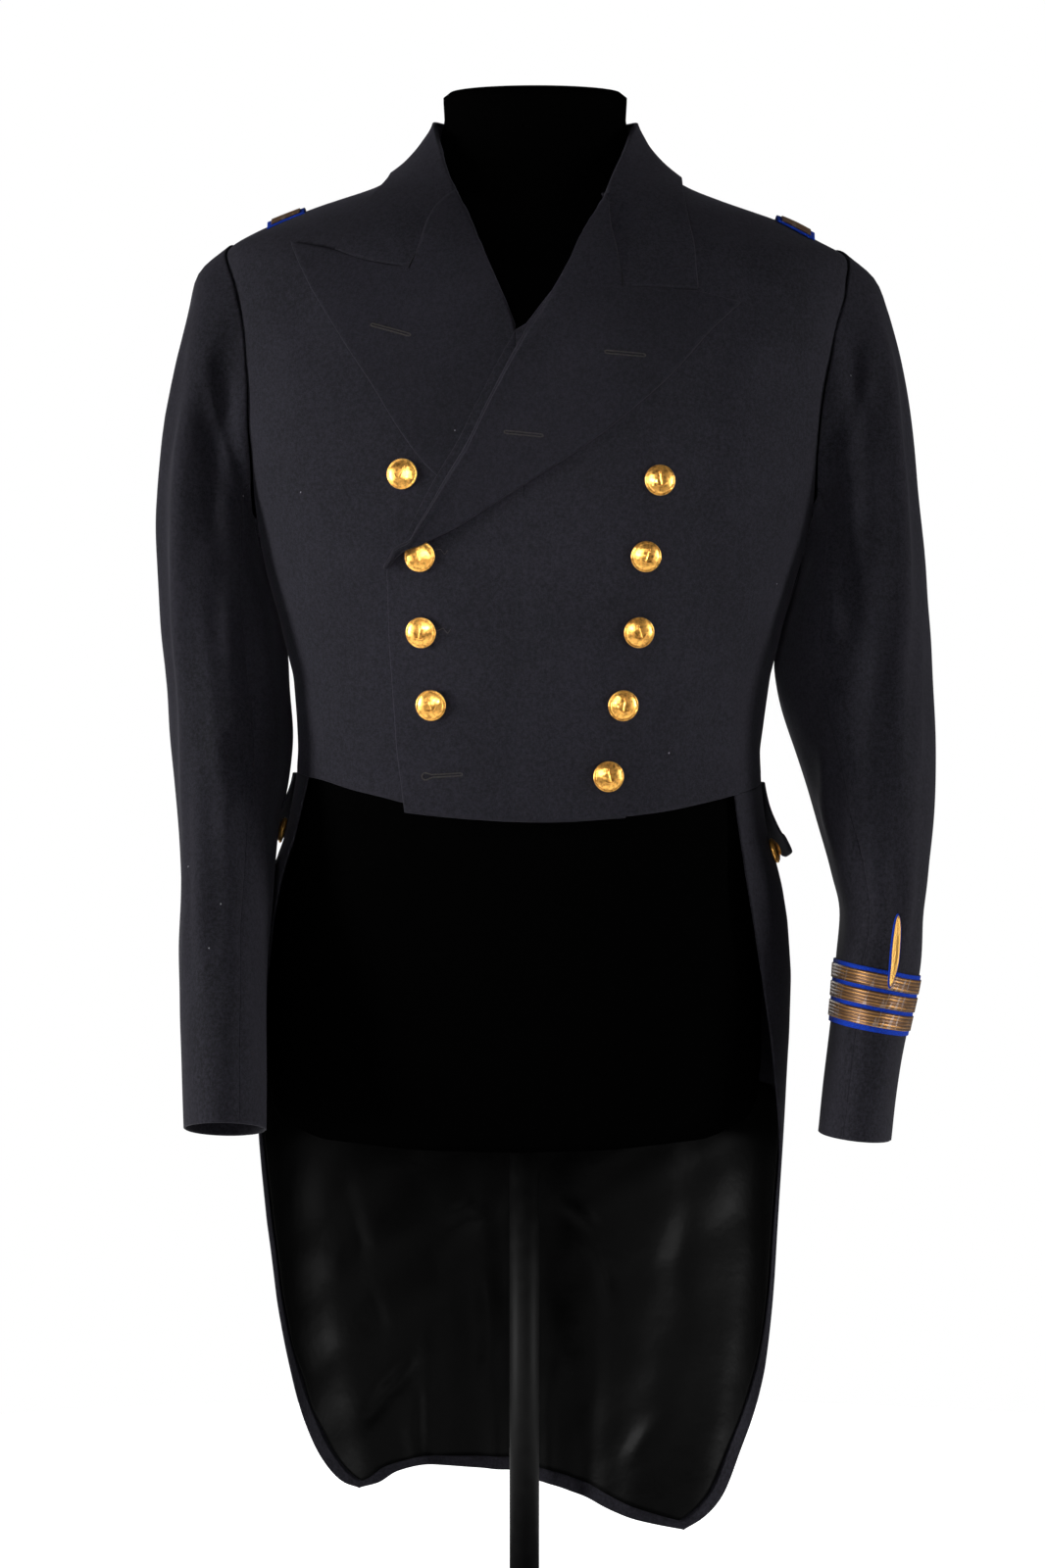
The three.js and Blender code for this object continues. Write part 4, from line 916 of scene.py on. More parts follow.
@dataclass(frozen=True)
class WoolFinish:
    """Fine twilled wool with a short nap, a few lint specks and a soft sheen."""

    name: str = "navy_wool"
    dark: tuple = (0.0022, 0.0021, 0.0032)
    light: tuple = (0.0105, 0.0099, 0.0140)
    sheen: float = 0.02
    lint: float = 0.735

    def material(self) -> bpy.types.Material:
        """Builds the material."""
        book = NodeBook(self.name)
        place = book.place()
        broad = book.noise(14, 3, place)
        fibre = book.noise(1500, 3, place, 0.7)
        grain = book.noise(430, 4, place, 0.75)
        tone = book.math("ADD", book.math("MULTIPLY", broad, 0.1), book.math("MULTIPLY", fibre, 0.4))
        tone = book.math("ADD", tone, book.math("MULTIPLY", grain, 0.5))
        cloth = book.ramp(tone, 0.42, 0.58, self.dark, self.light)
        speck = book.add("ShaderNodeTexVoronoi", {"feature": "F1"}, Vector=place, Scale=75.0)
        picked = book.math("GREATER_THAN", speck.outputs["Color"], self.lint)
        near = book.math("LESS_THAN", speck.outputs["Distance"], 0.055)
        patch = book.math("GREATER_THAN", book.noise(190, 2, place), 0.60)
        lint = book.math("MULTIPLY", book.math("MULTIPLY", picked, near), patch)
        book.set(Base_Color=book.mix(book.math("MULTIPLY", lint, 0.55), cloth, (0.22, 0.22, 0.24)))
        book.set(Roughness=0.9, Specular_IOR_Level=0.10, Sheen_Weight=self.sheen, Sheen_Roughness=0.42,
                 Sheen_Tint=(0.70, 0.68, 0.86, 1))
        twill = book.add("ShaderNodeTexWave", {"bands_direction": "DIAGONAL"}, Vector=book.place("UV"),
                         Scale=420.0, Distortion=1.2, Detail=1.0)
        book.bump(twill.outputs[1], 0.00004, 0.3)
        book.bump(fibre, 0.00003, 0.5)
        book.bump(book.noise(260, 3, place), 0.0001, 0.4)
        return book.material


@dataclass(frozen=True)
class SatinFinish:
    """Black lining satin, softly glossy."""

    name: str = "black_satin"
    base: tuple = (0.0004, 0.0004, 0.0004)

    def material(self) -> bpy.types.Material:
        """Builds the material."""
        book = NodeBook(self.name)
        place = book.place()
        tone = book.noise(30, 4, place)
        book.set(Base_Color=book.ramp(tone, 0.3, 0.7, self.base, tuple(2.2 * c for c in self.base)))
        book.set(Roughness=book.math("ADD", book.math("MULTIPLY", tone, 0.14), 0.40))
        book.set(Specular_IOR_Level=0.045, Anisotropic=0.4)
        twill = book.add("ShaderNodeTexWave", {"bands_direction": "DIAGONAL"}, Vector=book.place("UV"),
                         Scale=700.0, Distortion=0.4)
        book.bump(twill.outputs[1], 0.00003, 0.3)
        book.bump(book.noise(55, 3, place), 0.0012, 0.55)
        return book.material


@dataclass(frozen=True)
class VelvetFinish:
    """Black velvet of the form, which gives back almost no light."""

    name: str = "black_velvet"
    base: tuple = (0.0003, 0.0003, 0.0003)

    def material(self) -> bpy.types.Material:
        """Builds the material."""
        book = NodeBook(self.name)
        pile = book.noise(1900, 2)
        book.set(Base_Color=book.ramp(pile, 0.3, 0.7, self.base, tuple(2 * c for c in self.base)))
        book.set(Roughness=1.0, Specular_IOR_Level=0.0)
        book.bump(pile, 0.0003, 0.4)
        return book.material


@dataclass(frozen=True)
class GiltFinish:
    """Bright gilt metal, worn darker in random patches."""

    name: str = "gilt"
    bright: tuple = (0.84, 0.44, 0.10)
    dull: tuple = (0.34, 0.16, 0.035)

    def material(self) -> bpy.types.Material:
        """Builds the material."""
        book = NodeBook(self.name)
        place = book.place()
        wear = book.noise(420, 4, place)
        book.set(Base_Color=book.ramp(wear, 0.34, 0.56, self.dull, self.bright), Metallic=1.0)
        book.set(Roughness=book.math("ADD", book.math("MULTIPLY", wear, 0.16), 0.24))
        book.bump(book.noise(1300, 3, place), 0.00012, 0.5)
        return book.material


@dataclass(frozen=True)
class LaceFinish:
    """Woven metallic lace, ribbed along its length, worn to brown in places, with painted shade in the
    grooves between the ribs.
    """

    name: str = "metallic_lace"
    gold: tuple = (0.40, 0.195, 0.048)
    # Brown of worn gold, also laid in the rib grooves as painted shade.
    worn: tuple = (0.060, 0.030, 0.017)
    pale: tuple = (0.23, 0.19, 0.17)
    metallic: float = 0.7
    ribs: float = 130.0

    def material(self) -> bpy.types.Material:
        """Builds the material."""
        book = NodeBook(self.name)
        place = book.place("UV")
        streak = book.add("ShaderNodeMapping", None, Vector=place, Scale=(26, 620, 1))
        wear = book.noise(1.0, 4, streak.outputs[0], 0.7)
        gold = book.ramp(wear, 0.36, 0.66, self.worn, self.gold)
        upright = book.add("ShaderNodeMapping", None, Vector=place, Scale=(170, 22, 1))
        patches = book.math("GREATER_THAN", book.noise(1.0, 3, upright.outputs[0]), 0.57)
        threads = book.add("ShaderNodeMapping", None, Vector=place, Scale=(900, 60, 1))
        worn_threads = book.math("MULTIPLY", book.noise(1.0, 2, threads.outputs[0]), 0.9)
        pale = book.math("MULTIPLY", patches, worn_threads)
        rib = book.add("ShaderNodeTexWave", {"bands_direction": "Y"}, Vector=place, Scale=self.ribs,
                       Distortion=0.3)
        pick = book.add("ShaderNodeTexWave", {"bands_direction": "X"}, Vector=place, Scale=520.0,
                        Distortion=0.6)
        # The grooves between the ribs take the worn colour: painted shade where the rib bump sinks.
        ribs_with_painted_groove_shade = book.mix(book.math("MULTIPLY", rib.outputs[1], 0.9), self.worn, gold)
        book.set(Base_Color=book.mix(pale, ribs_with_painted_groove_shade, self.pale))
        book.set(Metallic=self.metallic, Roughness=0.44)
        book.bump(pick.outputs[1], 0.00008, 0.5)
        book.bump(rib.outputs[1], 0.00025, 0.8)
        return book.material


@dataclass(frozen=True)
class EdgingFinish:
    """Royal blue cloth under and round the lace, with a fine fibre grain."""

    name: str = "blue_edging"
    dark: tuple = (0.0009, 0.009, 0.10)
    light: tuple = (0.0015, 0.026, 0.27)

    def material(self) -> bpy.types.Material:
        """Builds the material."""
        book = NodeBook(self.name)
        fibre = book.noise(1300, 3)
        book.set(Base_Color=book.ramp(fibre, 0.32, 0.68, self.dark, self.light))
        book.set(Roughness=0.85, Specular_IOR_Level=0.1)
        book.bump(fibre, 0.0003, 0.6)
        return book.material


@dataclass(frozen=True)
class ThreadFinish:
    """Sewing thread."""

    name: str = "thread"
    base: tuple = (0.009, 0.0085, 0.0075)
    light: tuple = (0.040, 0.037, 0.031)

    def material(self) -> bpy.types.Material:
        """Builds the material."""
        book = NodeBook(self.name)
        twist = book.noise(1800, 2)
        book.set(Base_Color=book.ramp(twist, 0.3, 0.7, self.base, self.light), Roughness=0.85)
        book.set(Specular_IOR_Level=0.1)
        book.bump(twist, 0.0001, 0.6)
        return book.material


@dataclass(frozen=True)
class EnamelFinish:
    """Black satin paint of the stand."""

    name: str = "black_enamel"

    def material(self) -> bpy.types.Material:
        """Builds the material."""
        book = NodeBook(self.name)
        haze = book.noise(90, 4)
        book.set(Base_Color=book.ramp(haze, 0.3, 0.7, (0.0015, 0.0015, 0.0015), (0.003, 0.003, 0.003)))
        book.set(Roughness=book.math("ADD", book.math("MULTIPLY", haze, 0.15), 0.5), Specular_IOR_Level=0.06)
        book.bump(book.noise(900, 2), 0.00005, 0.3)
        return book.material


@dataclass(frozen=True)
class FloorFinish:
    """Plain pale floor."""

    name: str = "pale_floor"

    def material(self) -> bpy.types.Material:
        """Builds the material."""
        book = NodeBook(self.name)
        book.set(Base_Color=(0.92, 0.92, 0.92, 1), Roughness=0.95, Specular_IOR_Level=0.1)
        book.set(Emission_Color=(1, 1, 1, 1), Emission_Strength=0.75)
        return book.material


class Finishes:
    """All finishes, each made once."""

    def __init__(self) -> None:
        """Builds the materials by their slots."""
        kinds = {
            "wool": WoolFinish(),
            # The lapels get a darker copy of the navy wool: painted shade on the same cloth as the rest of
            # the coat.
            "lapel_wool": WoolFinish("lapel_wool_painted_shade", (0.0020, 0.0019, 0.0030), (0.0086, 0.0080, 0.0118),
                                     0.02, 0.62),
            "satin": SatinFinish(),
            "velvet": VelvetFinish(),
            "gilt": GiltFinish(),
            "lace": LaceFinish(),
            "curl_lace": LaceFinish("curl_lace", (0.80, 0.46, 0.09), (0.36, 0.19, 0.04), (0.60, 0.36, 0.12)),
            "edging": EdgingFinish(),
            "thread": ThreadFinish(),
            # Near-black thread for the gorge seams: painted shadow lines, darker than the cloth's own thread.
            "gorge_shadow_thread": ThreadFinish("gorge_shadow_thread", (0.0003, 0.0003, 0.0004), (0.0010, 0.0009, 0.0011)),
            "enamel": EnamelFinish(),
            "floor": FloorFinish(),
        }
        self.made = {slot: finish.material() for slot, finish in kinds.items()}

    def dress(self, piece: bpy.types.Object, slot: str, *nodes: str, record_slot: str | None = None) -> None:
        """Gives a piece its finish, hides the solids that it replaces and logs it.

        Args:
            piece: the piece.
            slot: its finish.
            *nodes: solids that it replaces.
            record_slot: not used.
        """
        piece.data.materials.clear()
        piece.data.materials.append(self.made[slot])
        if nodes:
            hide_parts(*nodes)
        LOG.info("%s: %d faces, %s", piece.name, len(piece.data.polygons), slot)


def left_lift(turn: np.ndarray, z: np.ndarray) -> np.ndarray:
    """Lift of the left front over the right one."""
    x = FACE.plain(turn, z)[..., 0]
    return OVERLAP_LIFT * (1 - smoothstep(x, OVERLAP_TO, EASED_AT)) * (1 - smoothstep(z, *OVERLAP_TOP))


def roll_rise(across: np.ndarray) -> np.ndarray:
    """Rise of the fold along a roll line; across runs from the fold to the outer edge."""
    return ROLL_RISE * np.exp(-(((across - ROLL_WIDTH) / ROLL_WIDTH) ** 2))


def rolled_edge(outer: np.ndarray, inner: np.ndarray, under: np.ndarray, steps: int = 6,
                bulge=0.5) -> tuple:
    """Carries a sheet round its fold, from its first column down to the cloth below.

    Args:
        outer: grid of the outer face, whose first column is the fold.
        inner: grid of the inner face.
        under: points of the first column on the inner face of the cloth below.
        steps: steps round the fold.
        bulge: how far the fold stands out, as a share of its half height; one number or one for each row.

    Returns:
        The longer outer and inner grids.
    """
    top = outer[:, 0]
    wall = np.linalg.norm(top - inner[:, 0], axis=-1, keepdims=True)
    centre = (top + under) / 2
    reach = np.linalg.norm(top - under, axis=-1, keepdims=True) / 2
    up = unit(top - under)
    side = unit(np.cross(np.gradient(top, axis=0), up))
    side *= np.sign((side * (outer[:, 0] - outer[:, 6])).sum())
    angle = np.radians(np.linspace(-90, 90, steps + 1)[:-1])
    out = np.broadcast_to(bulge, len(top))[:, None, None]
    turn = side[:, None] * np.cos(angle)[None, :, None] * out + up[:, None] * np.sin(angle)[None, :, None]
    outside = centre[:, None] + turn * reach[:, None]
    inside = centre[:, None] + turn * np.maximum(reach - wall, 0.3)[:, None]
    return np.concatenate([outside, outer], 1), np.concatenate([inside, inner], 1)


def eased(grid: np.ndarray, spread: float, axis: int) -> np.ndarray:
    """Evens out a grid of points along one axis and keeps its ends.

    Args:
        grid: the points.
        spread: how far the easing reaches, in grid steps.
        axis: 0 or 1.

    Returns:
        The eased grid.
    """
    rows = np.moveaxis(grid, axis, 0)
    reach = int(3 * spread)
    before = 2 * rows[:1] - rows[reach:0:-1]
    after = 2 * rows[-1:] - rows[-2:-reach - 2:-1]
    long = np.concatenate([before, rows, after])
    weight = np.exp(-((np.arange(-reach, reach + 1) / spread) ** 2) / 2)
    weight /= weight.sum()
    total = sum(w * long[i:i + len(rows)] for i, w in enumerate(weight))
    return np.moveaxis(total, 0, axis)


def seen_from_front(points: np.ndarray) -> tuple:
    """Across and height of points in the plane y = 0, as the camera sees them."""
    k = 1 + points[..., 1] / EYE_DISTANCE
    return (points[..., 0] + 1) / k - 1, EYE_HEIGHT + (points[..., 2] - EYE_HEIGHT) / k


def fitted_roll(outer: np.ndarray, inner: np.ndarray, name: str) -> None:
    """Moves a fold sideways onto the roll line that the photograph shows.

    Args:
        outer: grid of the outer face, the fold in its first columns.
        inner: grid of the inner face.
        name: left or right.
    """
    side = ARMHOLE[name]["side"]
    across, height = seen_from_front(outer[:, :ROLL_COLUMNS])
    tip = np.argmin(side * across, axis=1)
    rows = np.arange(len(outer))
    line = np.array(ROLL_SEEN[name][::-1])
    level = height[rows, tip]
    wanted = np.interp(level, line[:, 1], line[:, 0])
    fade = smoothstep(level, line[0, 1] - 9, line[0, 1] + 2) * (1 - smoothstep(level, *ROLL_FREE))
    fade = fade * (outer[:, 0, 1] < ROLL_DEPTH)
    shift = np.clip(fade * (wanted - across[rows, tip]), -ROLL_MOVE, ROLL_MOVE)
    middle = outer[rows, tip][:, None]
    for grid in (inner, outer):
        away = np.linalg.norm(grid - middle, axis=-1) / ROLL_REACH
        grid[..., 0] += shift[:, None] * np.exp(-(away**2))


@dataclass
class Coat:
    """Shared work of the coat's cloth pieces."""

    finishes: Finishes

    def sheet(self, name: str, grid: np.ndarray, lift: np.ndarray, slot: str, *nodes: str, wall: float = WALL,
              rests_on: tuple = ("dress_form_body",)) -> bpy.types.Object:
        """Makes one panel over a grid of [turn, z].

        Args:
            name: the piece's name.
            grid: rows by columns of turn and height.
            lift: lift of the inner face at each point.
            slot: its finish.
            *nodes: solids that it replaces.
            wall: thickness of the cloth.
            rests_on: not used.

        Returns:
            The panel.
        """
        turn, z = grid[..., 0], grid[..., 1]
        base, normal = FACE.plain(turn, z), FACE.normal(turn, z)
        outer = base + normal * (lift + wall)[..., None]
        inner = base + normal * lift[..., None]
        piece = shell(name, outer, inner)
        self.finishes.dress(piece, slot, *nodes)
        return piece


def front_relief(grid: np.ndarray, creases: list, amount: float, seed: int) -> np.ndarray:
    """Lift of creases that are given in the front view, with soft unevenness."""
    points = FACE.plain(grid[..., 0], grid[..., 1])
    x, z = points[..., 0], points[..., 2]
    return crease_height(creases, x, z) + amount * unevenness(x, z, 150, seed)


@dataclass
class Fronts(Coat):
    """Both fronts, with the overlap strip of the left one."""

    seam_rows: int = 9
    roll_rows: int = 3
    neck_rows: int = 2
    side_rows: int = 6
    shoulder_steps: int = 8
    tuck: float = 4.0
    left_creases: tuple = (
        Crease(((135, 816), (121, 776), (106, 733), (95, 692), (78, 660), (66, 621)), -0.75, 1.5, -0.5),
        Crease(((94, 855), (60, 850), (20, 856)), 0.7, 11),
        Crease(((84, 802), (50, 806), (5, 800)), 0.8, 12),
        Crease(((79, 749), (30, 742), (-10, 746)), 0.7, 12),
        Crease(((68, 697), (20, 700), (-20, 694)), 0.7, 11),
        Crease(((150, 720), (120, 700), (90, 668)), 1.0, 12),
        Crease(((160, 690), (140, 665), (120, 640)), 1.2, 10),
        Crease(((168, 900), (150, 860), (140, 820)), 1.3, 14),
        Crease(((176, 985), (160, 940), (152, 890)), 1.2, 12),
        Crease(((150, 1040), (160, 1000), (168, 960)), -1.0, 14),
    )
    right_creases: tuple = (
        Crease(((-131, 821), (-115, 769), (-106, 736), (-96, 702), (-89, 674)), -0.75, 1.5, -0.5),
        Crease(((-86, 860), (-120, 850), (-150, 856)), 0.7, 12),
        Crease(((-100, 800), (-125, 790), (-150, 770)), 0.9, 12),
        Crease(((-95, 725), (-120, 700), (-150, 690)), 1.0, 11),
        Crease(((-100, 665), (-130, 690), (-160, 700)), 1.0, 9),
        Crease(((-172, 905), (-158, 860), (-146, 820)), 1.3, 14),
        Crease(((-184, 990), (-168, 945), (-160, 900)), 1.2, 12),
        Crease(((-150, 1040), (-160, 1000), (-168, 960)), -1.0, 14),
    )

    def build(self) -> None:
        """Builds the three panels."""
        counts = (self.seam_rows, self.roll_rows, self.neck_rows, self.side_rows)
        seam, roll, neck, side = (FINE * count for count in counts)
        across = FINE * self.shoulder_steps
        armhole = seam + roll + neck - side
        shoulder_left = leg([NECK_SEAM["left"][1], armhole_leg("left", 145, 0, 1)[1]], across)
        upper_left = from_front([[x + self.tuck, z] for x, z in ROLL_LINE["leftUpper"]])
        upper_right = from_front([[x - self.tuck, z] for x, z in ROLL_LINE["rightUpper"]])
        left = fill(
            chain(leg(from_front(UPRIGHT_SEAM), seam), leg(upper_left, roll),
                  leg([upper_left[-1], *NECK_SEAM["left"]], neck)),
            chain(leg([[84, 641], [86, 730], armhole_leg("left", SIDE_SEAM_ANGLE, 0, 1)[0]], side),
                  armhole_leg("left", SIDE_SEAM_ANGLE, 0, armhole)),
            chain(leg(from_front(HEM["left"]), across - FINE), leg(WAIST["left"], FINE)),
            shoulder_left,
        )
        left = trimmed(left)
        lift = left_lift(left[..., 0], left[..., 1]) + front_relief(left, self.left_creases, 0.5, 11)
        lift += seam_pinch(*left.shape[:2], "lrt")
        self.sheet("cloth_front_left", left, lift, "wool", "front_left")

        strip = trimmed(fill(
            leg(from_front(OVERLAP_EDGE), seam), leg(from_front(UPRIGHT_SEAM), seam),
            leg(from_front(HEM["overlap"]), 3 * FINE), leg(from_front(ROLL_LINE["left"]), 3 * FINE)))
        lift = left_lift(strip[..., 0], strip[..., 1]) + front_relief(strip, self.left_creases, 0.5, 11)
        lift += seam_pinch(*strip.shape[:2], "r")
        self.sheet("cloth_overlap_left", strip, lift, "wool", "overlap_left")

        under, lower = 5 * FINE, 4 * FINE
        right = trimmed(fill(
            chain(leg(from_front(UNDERLAP_EDGE), under), leg(from_front(ROLL_LINE["right"]), lower),
                  leg(upper_right, roll), leg([upper_right[-1], *NECK_SEAM["right"]], neck)),
            chain(leg([[-84, 649], [-86, 730], armhole_leg("right", SIDE_SEAM_ANGLE, 0, 1)[0]], side),
                  armhole_leg("right", SIDE_SEAM_ANGLE, 0, armhole)),
            chain(leg(from_front(HEM["right"]), across - FINE), leg(WAIST["right"], FINE)),
            leg([NECK_SEAM["right"][1], armhole_leg("right", 145, 0, 1)[1]], across),
        ))
        lift = front_relief(right, self.right_creases, 0.5, 12) + seam_pinch(*right.shape[:2], "rt")
        self.sheet("cloth_front_right", right, lift, "wool", "front_right")


@dataclass
class Lapels(Coat):
    """Peaked lapels, each turned over along its roll line."""

    hump: tuple = (-76, 808)
    hump_rise: float = 9.0
    hump_spread: float = 19.0
    thick: float = 2.2
    roll_steps: int = 9
    upper_steps: int = 4
    gorge_steps: int = 3
    notch_steps: int = 4

    def hump_lift(self, grid: np.ndarray) -> np.ndarray:
        """Rise of the left lapel's edge over the button below it."""
        points = FACE.plain(grid[..., 0], grid[..., 1])
        away = np.hypot(points[..., 0] - self.hump[0], points[..., 2] - self.hump[1]) / self.hump_spread
        return self.hump_rise * np.exp(-(away**2))

    def turned(self, name: str, grid: np.ndarray, lift: np.ndarray, below: np.ndarray, node: str) -> None:
        """Makes one lapel with its rolled edge.

        Args:
            name: the piece's name.
            grid: rows by columns of turn and height, whose first column is the roll line.
            lift: lift of the inner face.
            below: lift of the front's inner face along the roll line.
            node: the solid that it replaces.
        """
        turn, z = grid[..., 0], grid[..., 1]
        outer, inner = FACE.point(turn, z, lift + self.thick), FACE.point(turn, z, lift)
        outer, inner = (eased(eased(side, 3, 0), 3, 1) for side in (outer, inner))
        under = FACE.point(turn[:, 0], z[:, 0], below)
        outer, inner = rolled_edge(outer, inner, under)
        fitted_roll(outer, inner, node.removeprefix("lapel_"))
        piece = shell(name, outer, inner)
        # The lapels take the darker copy of the wool: painted shade.
        self.finishes.dress(piece, "lapel_wool", node)

    def panel(self, name: str) -> np.ndarray:
        """Grid of one lapel, its first column on the roll line."""
        lower, upper = self.roll_steps * FINE, self.upper_steps * FINE
        gorge, notch = self.gorge_steps * FINE, self.notch_steps * FINE
        roll, edge = ROLL_LINE[name], LAPEL_EDGE[name]
        return trimmed(fill(
            chain(leg(from_front(roll), lower), leg(from_front(ROLL_LINE[f"{name}Upper"]), upper)),
            leg(from_front(edge), lower + upper),
            leg(from_front([roll[0], edge[0]]), gorge + notch),
            chain(leg(from_front(GORGE[name]), gorge), leg(from_front(NOTCH[name]), notch))), 0.5)

    def build(self) -> None:
        """Builds both lapels."""
        left = self.panel("left")
        u = np.linspace(0, 1, left.shape[1])[None, :]
        base = left_lift(left[..., 0], left[..., 1])
        creases = [Crease(((30, 975), (60, 950), (92, 925)), 0.8, 12),
                   Crease(((-30, 880), (0, 872), (30, 884)), 0.7, 12)]
        lift = base + LAYER + roll_rise(u) + self.hump_lift(left) + front_relief(left, creases, 0.45, 21)
        self.turned("cloth_lapel_left", left, lift, base[:, 0], "lapel_left")

        right = self.panel("right")
        u = np.linspace(0, 1, right.shape[1])[None, :]
        rise = roll_rise(u) * smoothstep(right[..., 1], *RIGHT_ROLL)
        hidden = 1 - smoothstep(right[..., 1], 830, 900)
        relief = front_relief(right, [Crease(((-60, 1000), (-90, 960), (-100, 925)), 0.8, 13)], 0.45, 22)
        lift = LAYER + rise + relief * (1 - hidden)
        self.turned("cloth_lapel_right", right, lift, np.zeros(right.shape[0]), "lapel_right")


@dataclass
class Collar(Coat):
    """Collar: the fall lies over the shoulders and the stand rises against the neck."""

    front_steps: int = 5
    back_steps: int = 18
    stand_wall: float = 1.3

    @staticmethod
    def turned_right(points) -> np.ndarray:
        """Points of the right side, counted on past the back and in reverse order."""
        points = np.array(points, float)
        points[:, 0] = np.where(points[:, 0] < 0, points[:, 0] + 360, points[:, 0])
        return points[::-1]

    def build(self) -> None:
        """Builds the fall and the stand."""
        roll_left = from_front(ROLL_TOP["left"])
        roll_right = self.turned_right(from_front(ROLL_TOP["right"]))
        back_roll = COLLAR_ROLL_BACK[1:-1]
        inner = chain(
            leg(from_front(GORGE["left"][::-1]), 3 * FINE),
            leg(roll_left, 3 * FINE),
            leg([roll_left[-1], *back_roll, roll_right[0]], (self.back_steps - 2) * FINE),
            leg(roll_right, 3 * FINE),
            leg(self.turned_right(from_front(GORGE["right"][::-1])), 3 * FINE))
        edge_left = from_front(COLLAR_EDGE["left"])
        edge_right = self.turned_right(from_front(COLLAR_EDGE["right"]))
        outer = chain(
            leg(edge_left, (self.front_steps - 1) * FINE),
            leg([edge_left[-1], *COLLAR_EDGE_BACK, edge_right[0]], (self.back_steps + 2) * FINE),
            leg(edge_right, (self.front_steps - 1) * FINE))
        rows = 3 * FINE
        fall = trimmed(fill(
            leg(from_front(COLLAR_END["left"]), rows),
            leg(self.turned_right(from_front(COLLAR_END["right"]))[::-1], rows), inner, outer), 0.55)
        turn, z = fall[..., 0], fall[..., 1]
        settled = smoothstep(COLLAR_SETTLE[1] - z, 0, COLLAR_SETTLE[1] - COLLAR_SETTLE[0])
        lift = COLLAR_TOP_LIFT + (COLLAR_LIFT - COLLAR_TOP_LIFT) * settled
        waves = 0.35 * unevenness(turn * DEGREE_SPAN, z, 120, 31)
        lift += np.where(turn < 180, left_lift(turn, z), 0) + waves
        face, back = FACE.point(turn, z, lift + WALL), FACE.point(turn, z, lift)
        under = FACE.point(turn[0], z[0] - 0.5, np.where(turn[0] < 180, left_lift(turn[0], z[0]), 0))
        row = np.arange(len(under))
        ends = np.minimum(row, len(under) - 1 - row)
        face, back = (eased(np.swapaxes(grid, 0, 1), 4, 0) for grid in (face, back))
        face, back = rolled_edge(face, back, under, bulge=0.5 * smoothstep(ends, 20, 30))
        half = len(face) // 2
        fitted_roll(face[:half], back[:half], "left")
        fitted_roll(face[half:], back[half:], "right")
        piece = shell("cloth_collar_fall", face, back)
        self.finishes.dress(piece, "wool", "collar_fall")

        steps = 20 * FINE
        stitched = from_front(ROLL_LINE["leftUpper"])[-1]
        stitched_right = self.turned_right(from_front(ROLL_LINE["rightUpper"]))[0]
        seam_right = self.turned_right([NECK_SEAM["right"][0]])[0]
        bottom = leg([stitched, NECK_SEAM["left"][0], [88, NECK_SEAM_HEIGHT], [180, NECK_SEAM_HEIGHT + 1],
                      [272, NECK_SEAM_HEIGHT], seam_right, stitched_right], steps)
        top = leg([*roll_left, *back_roll, *roll_right], steps)
        rise = np.stack([bottom[:, 0], np.maximum(top[:, 1] - 3, bottom[:, 1] + 3)], -1)
        stand = trimmed(fill(leg([bottom[0], rise[0]], 2 * FINE), leg([bottom[-1], rise[-1]], 2 * FINE),
                             bottom, rise), 0.5)
        self.sheet("cloth_collar_stand", stand, np.zeros(stand.shape[:2]), "wool", "collar_stand",
                   wall=self.stand_wall)


@dataclass
class Backs(Coat):
    """Backs and side bodies."""

    shoulder_steps: int = 10
    seam_steps: int = 6
    back_steps: int = 6
    body_steps: int = 5
    creases: tuple = (
        Crease(((150, 990), (170, 930), (172, 860)), 1.1, 16),
        Crease(((-150, 990), (-170, 930), (-172, 860)), 1.1, 16),
        Crease(((-130, 700), (0, 690), (130, 705)), 0.9, 12),
        Crease(((-120, 740), (-20, 728), (110, 742)), 0.7, 12),
        Crease(((40, 1060), (90, 1040), (140, 1000)), 0.8, 18),
        Crease(((-40, 1060), (-90, 1040), (-140, 1000)), 0.8, 18),
    )

    def build(self) -> None:
        """Builds the four panels."""
        rows, across, body_across = (FINE * n for n in (self.seam_steps, self.back_steps, self.body_steps))
        for name, hole in ARMHOLE.items():
            side = hole["side"]
            waist = WAIST[f"{name}Side"]
            seam = leg([[side * 148, waist[2][1]], [side * 140, 720],
                        armhole_leg(name, BACK_SEAM_ANGLE, 360, 1)[0]], rows)
            shoulder = leg([armhole_leg(name, 0, 360, 1)[0], NECK_SEAM[name][1]], self.shoulder_steps * FINE)
            neck_top = NECK_SEAM_HEIGHT + 1
            back = trimmed(fill(
                chain(seam, armhole_leg(name, BACK_SEAM_ANGLE, 360, rows), shoulder),
                leg([[side * 180, 648], [side * 180, neck_top]], 2 * rows + self.shoulder_steps * FINE),
                leg(WAIST[f"{name}Back"], across),
                leg([NECK_SEAM[name][1], [side * 140, NECK_SEAM_HEIGHT], [side * 180, neck_top]], across)))
            relief = front_relief(back, self.creases, 0.5, 41)
            self.sheet(f"cloth_back_{name}", back, relief + seam_pinch(*back.shape[:2], "lrbt"), "wool",
                       f"back_{name}")
            front_seam = leg([[side * 84, 641 if side > 0 else 649], [side * 86, 730],
                              armhole_leg(name, SIDE_SEAM_ANGLE, 0, 1)[0]], rows)
            body = trimmed(fill(front_seam, seam, leg(waist, body_across),
                                armhole_leg(name, SIDE_SEAM_ANGLE, BACK_SEAM_ANGLE, body_across)))
            relief = 0.6 * unevenness(body[..., 0] * DEGREE_SPAN, body[..., 1], 110, 42)
            self.sheet(f"cloth_side_body_{name}", body, relief + seam_pinch(*body.shape[:2], "lrbt"), "wool",
                       f"side_body_{name}")


